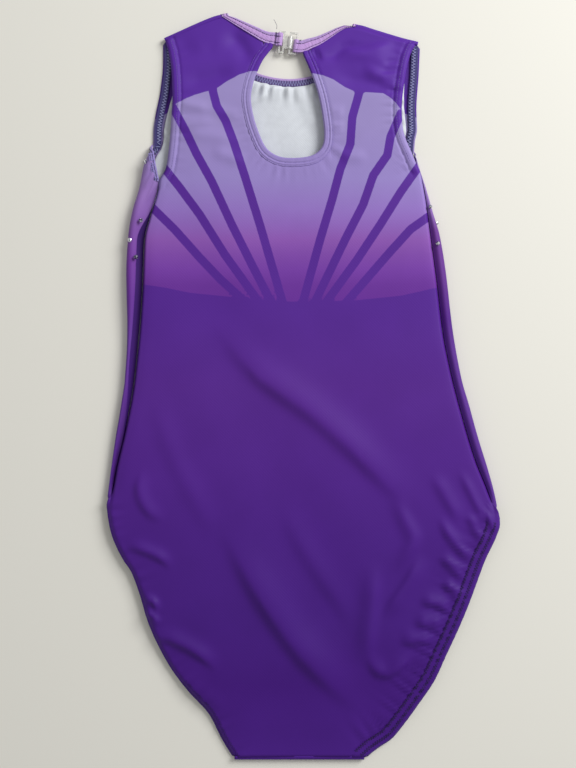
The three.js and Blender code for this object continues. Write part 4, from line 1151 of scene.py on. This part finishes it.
def legStations(side):
    # down the back's leg opening, over the crotch fold and up the front's leg opening
    start = cloth["crotch"] + foldRadius + 1
    y = mix(hip[side] - 1, start, np.linspace(0, 1, 90) ** 1.2)
    back = edgeStations(np.stack([at["backLeg", side](y), y], 1), clothHeight, 1, -outward[side])
    corner = np.array([at["backLeg", side](cloth["crotch"]), cloth["crotch"]])
    fold = foldStations(corner, np.array([-outward[side], 0.0, 0.0]), np.array([0.0, -1.0, 0.0]), 0, 10)
    wrap = wrapStations(side, start, cloth["wrapEnd"][side] * lengthGrade + 1, 90)
    return joined(back, fold, wrap), len(back[0])


hemPieces = {"arm": [], "leg": []}
elasticDepth = cloth["knit"] + cloth["layerGap"]
hemUnder = elasticDepth + cloth["elasticThick"] + cloth["layerGap"]
for side in sides:
    for kind, (stations, turnAt) in (("arm", armStations(side)), ("leg", legStations(side))):
        title = f"{kind}{side.title()}"
        node = {"arm": "armhole", "leg": "leg"}[kind]
        first = cloth["edgeInset"] + cloth["layerGap"]
        section = strap(first, cloth["edgeInset"] + cloth["elasticWidth"], elasticDepth,
            elasticDepth + cloth["elasticThick"])
        elastic = makePiece(f"{title}Elastic", [carry(stations, *section, follow=turnAt)], elasticWeb,
            closed=True)
        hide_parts(f"{node}_elastic_{side}")
        across, depth = strap(first, cloth["hemWidth"], hemUnder, hemUnder + cloth["liningKnit"])
        travel = travelled(stations[0])
        rippled = depth[None] + 0.12 * (1 + waves(travel, 3.2, 43))[:, None]
        hem = makePiece(f"{title}Hem", [carry(stations, across, rippled, follow=turnAt)], insideKnit,
            closed=True)
        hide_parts(f"{node}_hem_{side}")
        looper = stitchRow(f"{title}Looper", portion(stations, slice(turnAt + 8, None)), 4.6,
            hemUnder + cloth["liningKnit"] + 0.4, threads["hemLooper"], looperThread)
        hemPieces[kind] += [elastic, hem, looper]


def coverRows(title, line, places, inward, depth, thread, material):
    # stitch rows on the back panel, each at its distance in from an edge
    for k, place in enumerate(places):
        stations = edgeStations(aside(line, inward * place), panelHeight, 1, inward)
        stitchRow(f"{title}{k + 1}", stations, 0, depth, threads[thread], material)


coverAt = {"arm": (4.2, 6.6), "legRight": (4.6, 9.4), "legLeft": (1.5, 4.5)}
for side in sides:
    coverRows(f"armStitch{side.title()}", edgeLine["arm", side][2:-2], coverAt["arm"], -outward[side], -0.02,
        "armCover", lilacThread)
underarm = {"across": (0.1, 4.4), "depth": (-0.8, 0.2), "rows": (1.3, 3.1), "stitchDepth": -0.82}
stations = wrapStations("left", tip["left"] - 2, cloth["wrapTop"]["left"] * lengthGrade - 3, 40)
across, depth = strap(*underarm["across"], *underarm["depth"])
rippled = depth[None] + 0.2 * waves(travelled(stations[0]), 3.4, 53)[:, None]
underarmHem = makePiece("underarmHem", [carry(stations, across, rippled)], hemKnit, closed=True)
hemPieces["arm"].append(underarmHem)
for k, place in enumerate(underarm["rows"]):
    stitchRow(f"underarmStitch{k + 1}", stations, place, underarm["stitchDepth"], threads["underarmCover"],
        darkThread)
coverRows("legStitchRight", edgeLine["leg", "right"][2:], coverAt["legRight"], -1, -0.08, "legRight", darkThread)
coverRows("legStitchLeft", edgeLine["leg", "left"][-22:], coverAt["legLeft"], 1, -0.05, "legLeft", darkThread)
print("hems made")

# Seams on the folds of the shoulders and the crotch, and inside the sides


def foldSeam(name, line, outSign):
    # half-round strip over a fold, with a short flat run on each side that meets the panels
    along = unit(np.gradient(line, axis=0))
    out = np.stack([along[:, 1] * outSign, -along[:, 0] * outSign, 0 * along[:, 0]], 1)
    angle = np.linspace(np.pi / 2, -np.pi / 2, 15)
    away = np.r_[-1.0, np.cos(angle) * foldRadius, -1.0]
    height = np.r_[foldRadius, np.sin(angle) * foldRadius, -foldRadius]
    centre = np.column_stack([line, np.full(len(line), foldRadius)]) - out * foldRadius
    grid = centre[:, None] + out[:, None] * away[None, :, None] + up * height[None, :, None]
    if outSign < 0:
        grid = grid[::-1]
    inside = np.full(grid[..., 0].size, -5.0)  # all of it in the violet print
    return makePiece(name, [grid], backKnit, {"printAndShadeEdge": inside}, wall=cloth["knit"])


sideSeam = {"below": {"left": 12, "right": 28}, "above": 22, "across": (2.8, 8.4), "thick": 0.6}
seamPieces = []
for side in sides:
    line = smoothLine(outline["shoulder", side], 60)
    line = line[outward[side] * (line[:, 0] - line[0, 0]) > cloth["neckBandWidth"] * neckTaper(side)[-1] - 0.3]
    piece = foldSeam(f"shoulderSeam{side.title()}", line, -outward[side])
    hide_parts(f"shoulder_seam_{side}")
    y = np.linspace(tip[side] - sideSeam["below"][side], hip[side] + sideSeam["above"], 120)
    stations = edgeStations(np.stack([at["seam", side](y), y], 1), clothHeight, 1, -outward[side])
    section = strap(*sideSeam["across"], elasticDepth, elasticDepth + sideSeam["thick"])
    strip = makePiece(f"sideSeam{side.title()}", [carry(stations, *section, follow=len(y))], darkThread,
        closed=True)
    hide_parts(f"side_seam_{side}")
    seamPieces += [piece, strip]
ends = [at["backLeg", side](cloth["crotch"]) for side in sides]
line = np.stack([np.linspace(ends[0], ends[1], 60), np.full(60, cloth["crotch"] * lengthGrade)], 1)
crotchSeam = foldSeam("crotchSeam", line, 1)
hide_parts("crotch_seam")
print("seams made")

# Clasp: both halves as packed, cleaned up and given moulded edges

clearPlastic, tree = newMaterial("clearPolycarbonate")
# Injection-moulded polycarbonate: clear with a faint grey, its edges and bars catch the light
surfaceOf(tree, Base_Color=linear("#f2f2ee"), Roughness=0.1, IOR=1.585, Transmission_Weight=0.6,
    Specular_IOR_Level=0.5)
for node in ("clasp_hook", "clasp_socket"):
    half = bpy.data.objects[node]
    half.data.materials.clear()
    half.data.materials.append(clearPlastic)
    half.modifiers.new("weld", "WELD").merge_threshold = 1e-5
    bevel = half.modifiers.new("mouldedEdges", "BEVEL")
    bevel.width, bevel.segments, bevel.limit_method = 0.25 * millimetre, 3, "ANGLE"
    bevel.angle_limit = np.radians(40)
print("clasp finished")

# Rhinestones: flat-backed, with a table and two rings of facets

stone = {"facets": 12, "table": 0.42, "girdle": 0.12, "crown": (0.74, 0.62)}
crystalGlass, tree = newMaterial("foilBackedGlass")
# Foil-backed lead glass with mirror-like facets; small cells are painted greys from near black to white, as
# painted reflections and glints
place = addNode(tree, "ShaderNodeTexCoord")
facet = addNode(tree, "ShaderNodeTexVoronoi", {"Vector": place.outputs["Object"], "Scale": 1100.0})
grey = addNode(tree, "ShaderNodeSeparateColor", {"Color": facet.outputs["Color"]})
surfaceOf(tree, Base_Color=ramp(tree, grey.outputs[0], [(0.15, "#2b2540"), (0.5, "#a9a6c4"), (0.8, "#ffffff")]),
    Metallic=0.8, Roughness=0.05)


def nodePoints(node):
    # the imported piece's corners in millimetres
    body = bpy.data.objects[node]
    points = np.zeros(len(body.data.vertices) * 3, np.float32)
    body.data.vertices.foreach_get("co", points)
    world = np.array(body.matrix_world)
    return (points.reshape(-1, 3) @ world[:3, :3].T + world[:3, 3]) / millimetre


def makeStone(name, node):
    # facet rings from the back to the table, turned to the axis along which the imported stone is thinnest
    points = nodePoints(node)
    centre = points.mean(0)
    axes = np.linalg.svd(points - centre, full_matrices=False)[2]
    axis = axes[2] if axes[2][2] > -0.2 else -axes[2]
    span = (points - centre) @ axis
    across = (points - centre) @ axes[0]
    radius, bottom, height = abs(across).max(), span.min(), np.ptp(span)
    turn = np.arange(stone["facets"]) * 2 * np.pi / stone["facets"]
    rings = []
    levels = ((1, 0, 0), (1, stone["girdle"], 0), (*stone["crown"], 0.5), (stone["table"], 1, 0))
    for share, level, shift in levels:
        a = turn + shift * 2 * np.pi / stone["facets"]
        rings.append(centre + axis * (bottom + level * height) + radius * share * (np.cos(a)[:, None] * axes[0]
            + np.sin(a)[:, None] * np.cross(axis, axes[0])))
    n = stone["facets"]
    k = np.arange(n)
    after = np.roll(k, -1)
    girdle, crown, table = n, 2 * n, 3 * n
    faces = [k[::-1].tolist()] + np.stack([k, after, after + girdle, k + girdle], 1).tolist()
    for corners in ((k + girdle, after + girdle, k + crown), (k + crown, after + girdle, after + crown),
            (k + crown, after + crown, after + table), (k + crown, after + table, k + table)):
        faces += np.stack(corners, 1).tolist()
    faces.append((k + table).tolist())
    piece = finishPiece(name, np.vstack(rings), faces, crystalGlass, closed=True, flatShade=True)
    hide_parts(node)


for side, count in (("left", 4), ("right", 3)):
    for k in range(1, count + 1):
        makeStone(f"rhinestone{side.title()}{k}", f"rhinestone_{side}_{k}")
print("rhinestones made")

# Bartacks: close zigzags of violet thread over each loop's end, and one loose thread tail

tack = {"length": 9.8, "gap": 0.7, "half": 0.6, "pitch": 0.4, "thread": 0.32, "dashes": (-3.1, 1.8),
    "tail": [(-19.9, 268.2, 5.2), (-19.6, 270.5, 6.0), (-20.8, 273.3, 6.1), (-22, 275.6, 5.4)]}


def threadPath(points, radius):
    # round thread along a path, with rounded ends
    along = unit(np.gradient(points, axis=0))
    first = unit(np.cross(along, np.array([0.13, 0.31, 0.94])))
    second = np.cross(along, first)
    turn = np.linspace(0, 2 * np.pi, 7)[:, None, None]
    size = np.full(len(points), radius)
    size[[0, -1]] = radius * 0.3
    grid = points[None] + (first[None] * np.cos(turn) + second[None] * np.sin(turn)) * size[None, :, None]
    ends = [np.broadcast_to(points[k], grid[:, :1].shape) for k in (0, -1)]
    return np.concatenate([ends[0], grid, ends[1]], 1).swapaxes(0, 1)


def zigzag(a, half, along, shift):
    # satin stitch: thread laid from border to border over the band, a little uneven
    count = int(along / tack["pitch"])
    b = np.linspace(-along / 2, along / 2, count) + shift
    draw = np.random.default_rng(51 + int(a > 0))
    x = a + np.where(np.arange(count) % 2, half, -half) + draw.uniform(-0.1, 0.1, count)
    z = cloth["bandThick"] / 2 + 0.52 + draw.uniform(-0.04, 0.04, count)
    return claspCentre + x[:, None] * alongA + b[:, None] * alongB + z[:, None] * up


for side in sides:
    place = outward[side] * (clasp["pitch"] / 2 + clasp["loopRadius"] + tack["gap"])
    shift = -outward[side] * clasp["play"]
    grids = [threadPath(zigzag(place, tack["half"], tack["length"], shift), tack["thread"])]
    loop = outward[side] * clasp["pitch"] / 2
    dash = loop + outward[side] * 0.9 + np.linspace(-1.3, 1.6, 5)
    for level in tack["dashes"]:  # the binding's own stitching where it carries on over the loop
        height = np.sqrt(np.maximum(0, clasp["loopRadius"] ** 2 - (dash - loop) ** 2))
        height = np.maximum(height, cloth["bandThick"] / 2 + neck["raise"]) + 0.1
        path = claspCentre + dash[:, None] * alongA + (level + shift) * alongB + height[:, None] * up
        grids.append(threadPath(path, 0.2))
    if side == "left":
        grids.append(threadPath(smoothLine(tack["tail"], 24), 0.14))
    piece = makePiece(f"bartack{side.title()}", grids, darkThread, closed=True)
    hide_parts(f"bartack_{side}")
print("bartacks made")

# Table, daylight and camera

studio = {"floorHalf": 1.5, "floorDrop": 0.0002, "daylight": 0.42, "keyPlace": (1.1, 0.9, 1.1), "keyPower": 30,
    "keySize": 0.9, "camera": (-0.01125, 0.001875, 0.806), "lens": 50, "sensor": 36}
table, tree = newMaterial("paleLaminate")
surfaceOf(tree, Base_Color=linear("#e4e2d9"), Roughness=0.8)
floorMesh = bpy.data.meshes.new("floor")
corners = [(x * studio["floorHalf"], y * studio["floorHalf"], -studio["floorDrop"])
    for x, y in ((-1, -1), (1, -1), (1, 1), (-1, 1))]
floorMesh.from_pydata(corners, [], [(0, 1, 2, 3)])
floorMesh.materials.append(table)
floor = bpy.data.objects.new("floor", floorMesh)
bpy.context.scene.collection.objects.link(floor)

daylight = bpy.data.worlds.new("softDaylight")
daylight.use_nodes = True
sky = daylight.node_tree.nodes["Background"]
sky.inputs["Color"].default_value = linear("#ffffff")
sky.inputs["Strength"].default_value = studio["daylight"]
bpy.context.scene.world = daylight
bpy.context.scene.view_settings.view_transform = "Standard"

key = bpy.data.lights.new("window", "AREA")
key.energy, key.size = studio["keyPower"], studio["keySize"]
lamp = bpy.data.objects.new("window", key)
lamp.location = studio["keyPlace"]
lamp.rotation_euler = Vector(studio["keyPlace"]).to_track_quat("Z", "Y").to_euler()  # aimed at the origin
bpy.context.scene.collection.objects.link(lamp)

lens = bpy.data.cameras.new("above")
lens.lens, lens.sensor_width = studio["lens"], studio["sensor"]
camera = bpy.data.objects.new("above", lens)
camera.location = studio["camera"]
bpy.context.scene.collection.objects.link(camera)
bpy.context.scene.camera = camera
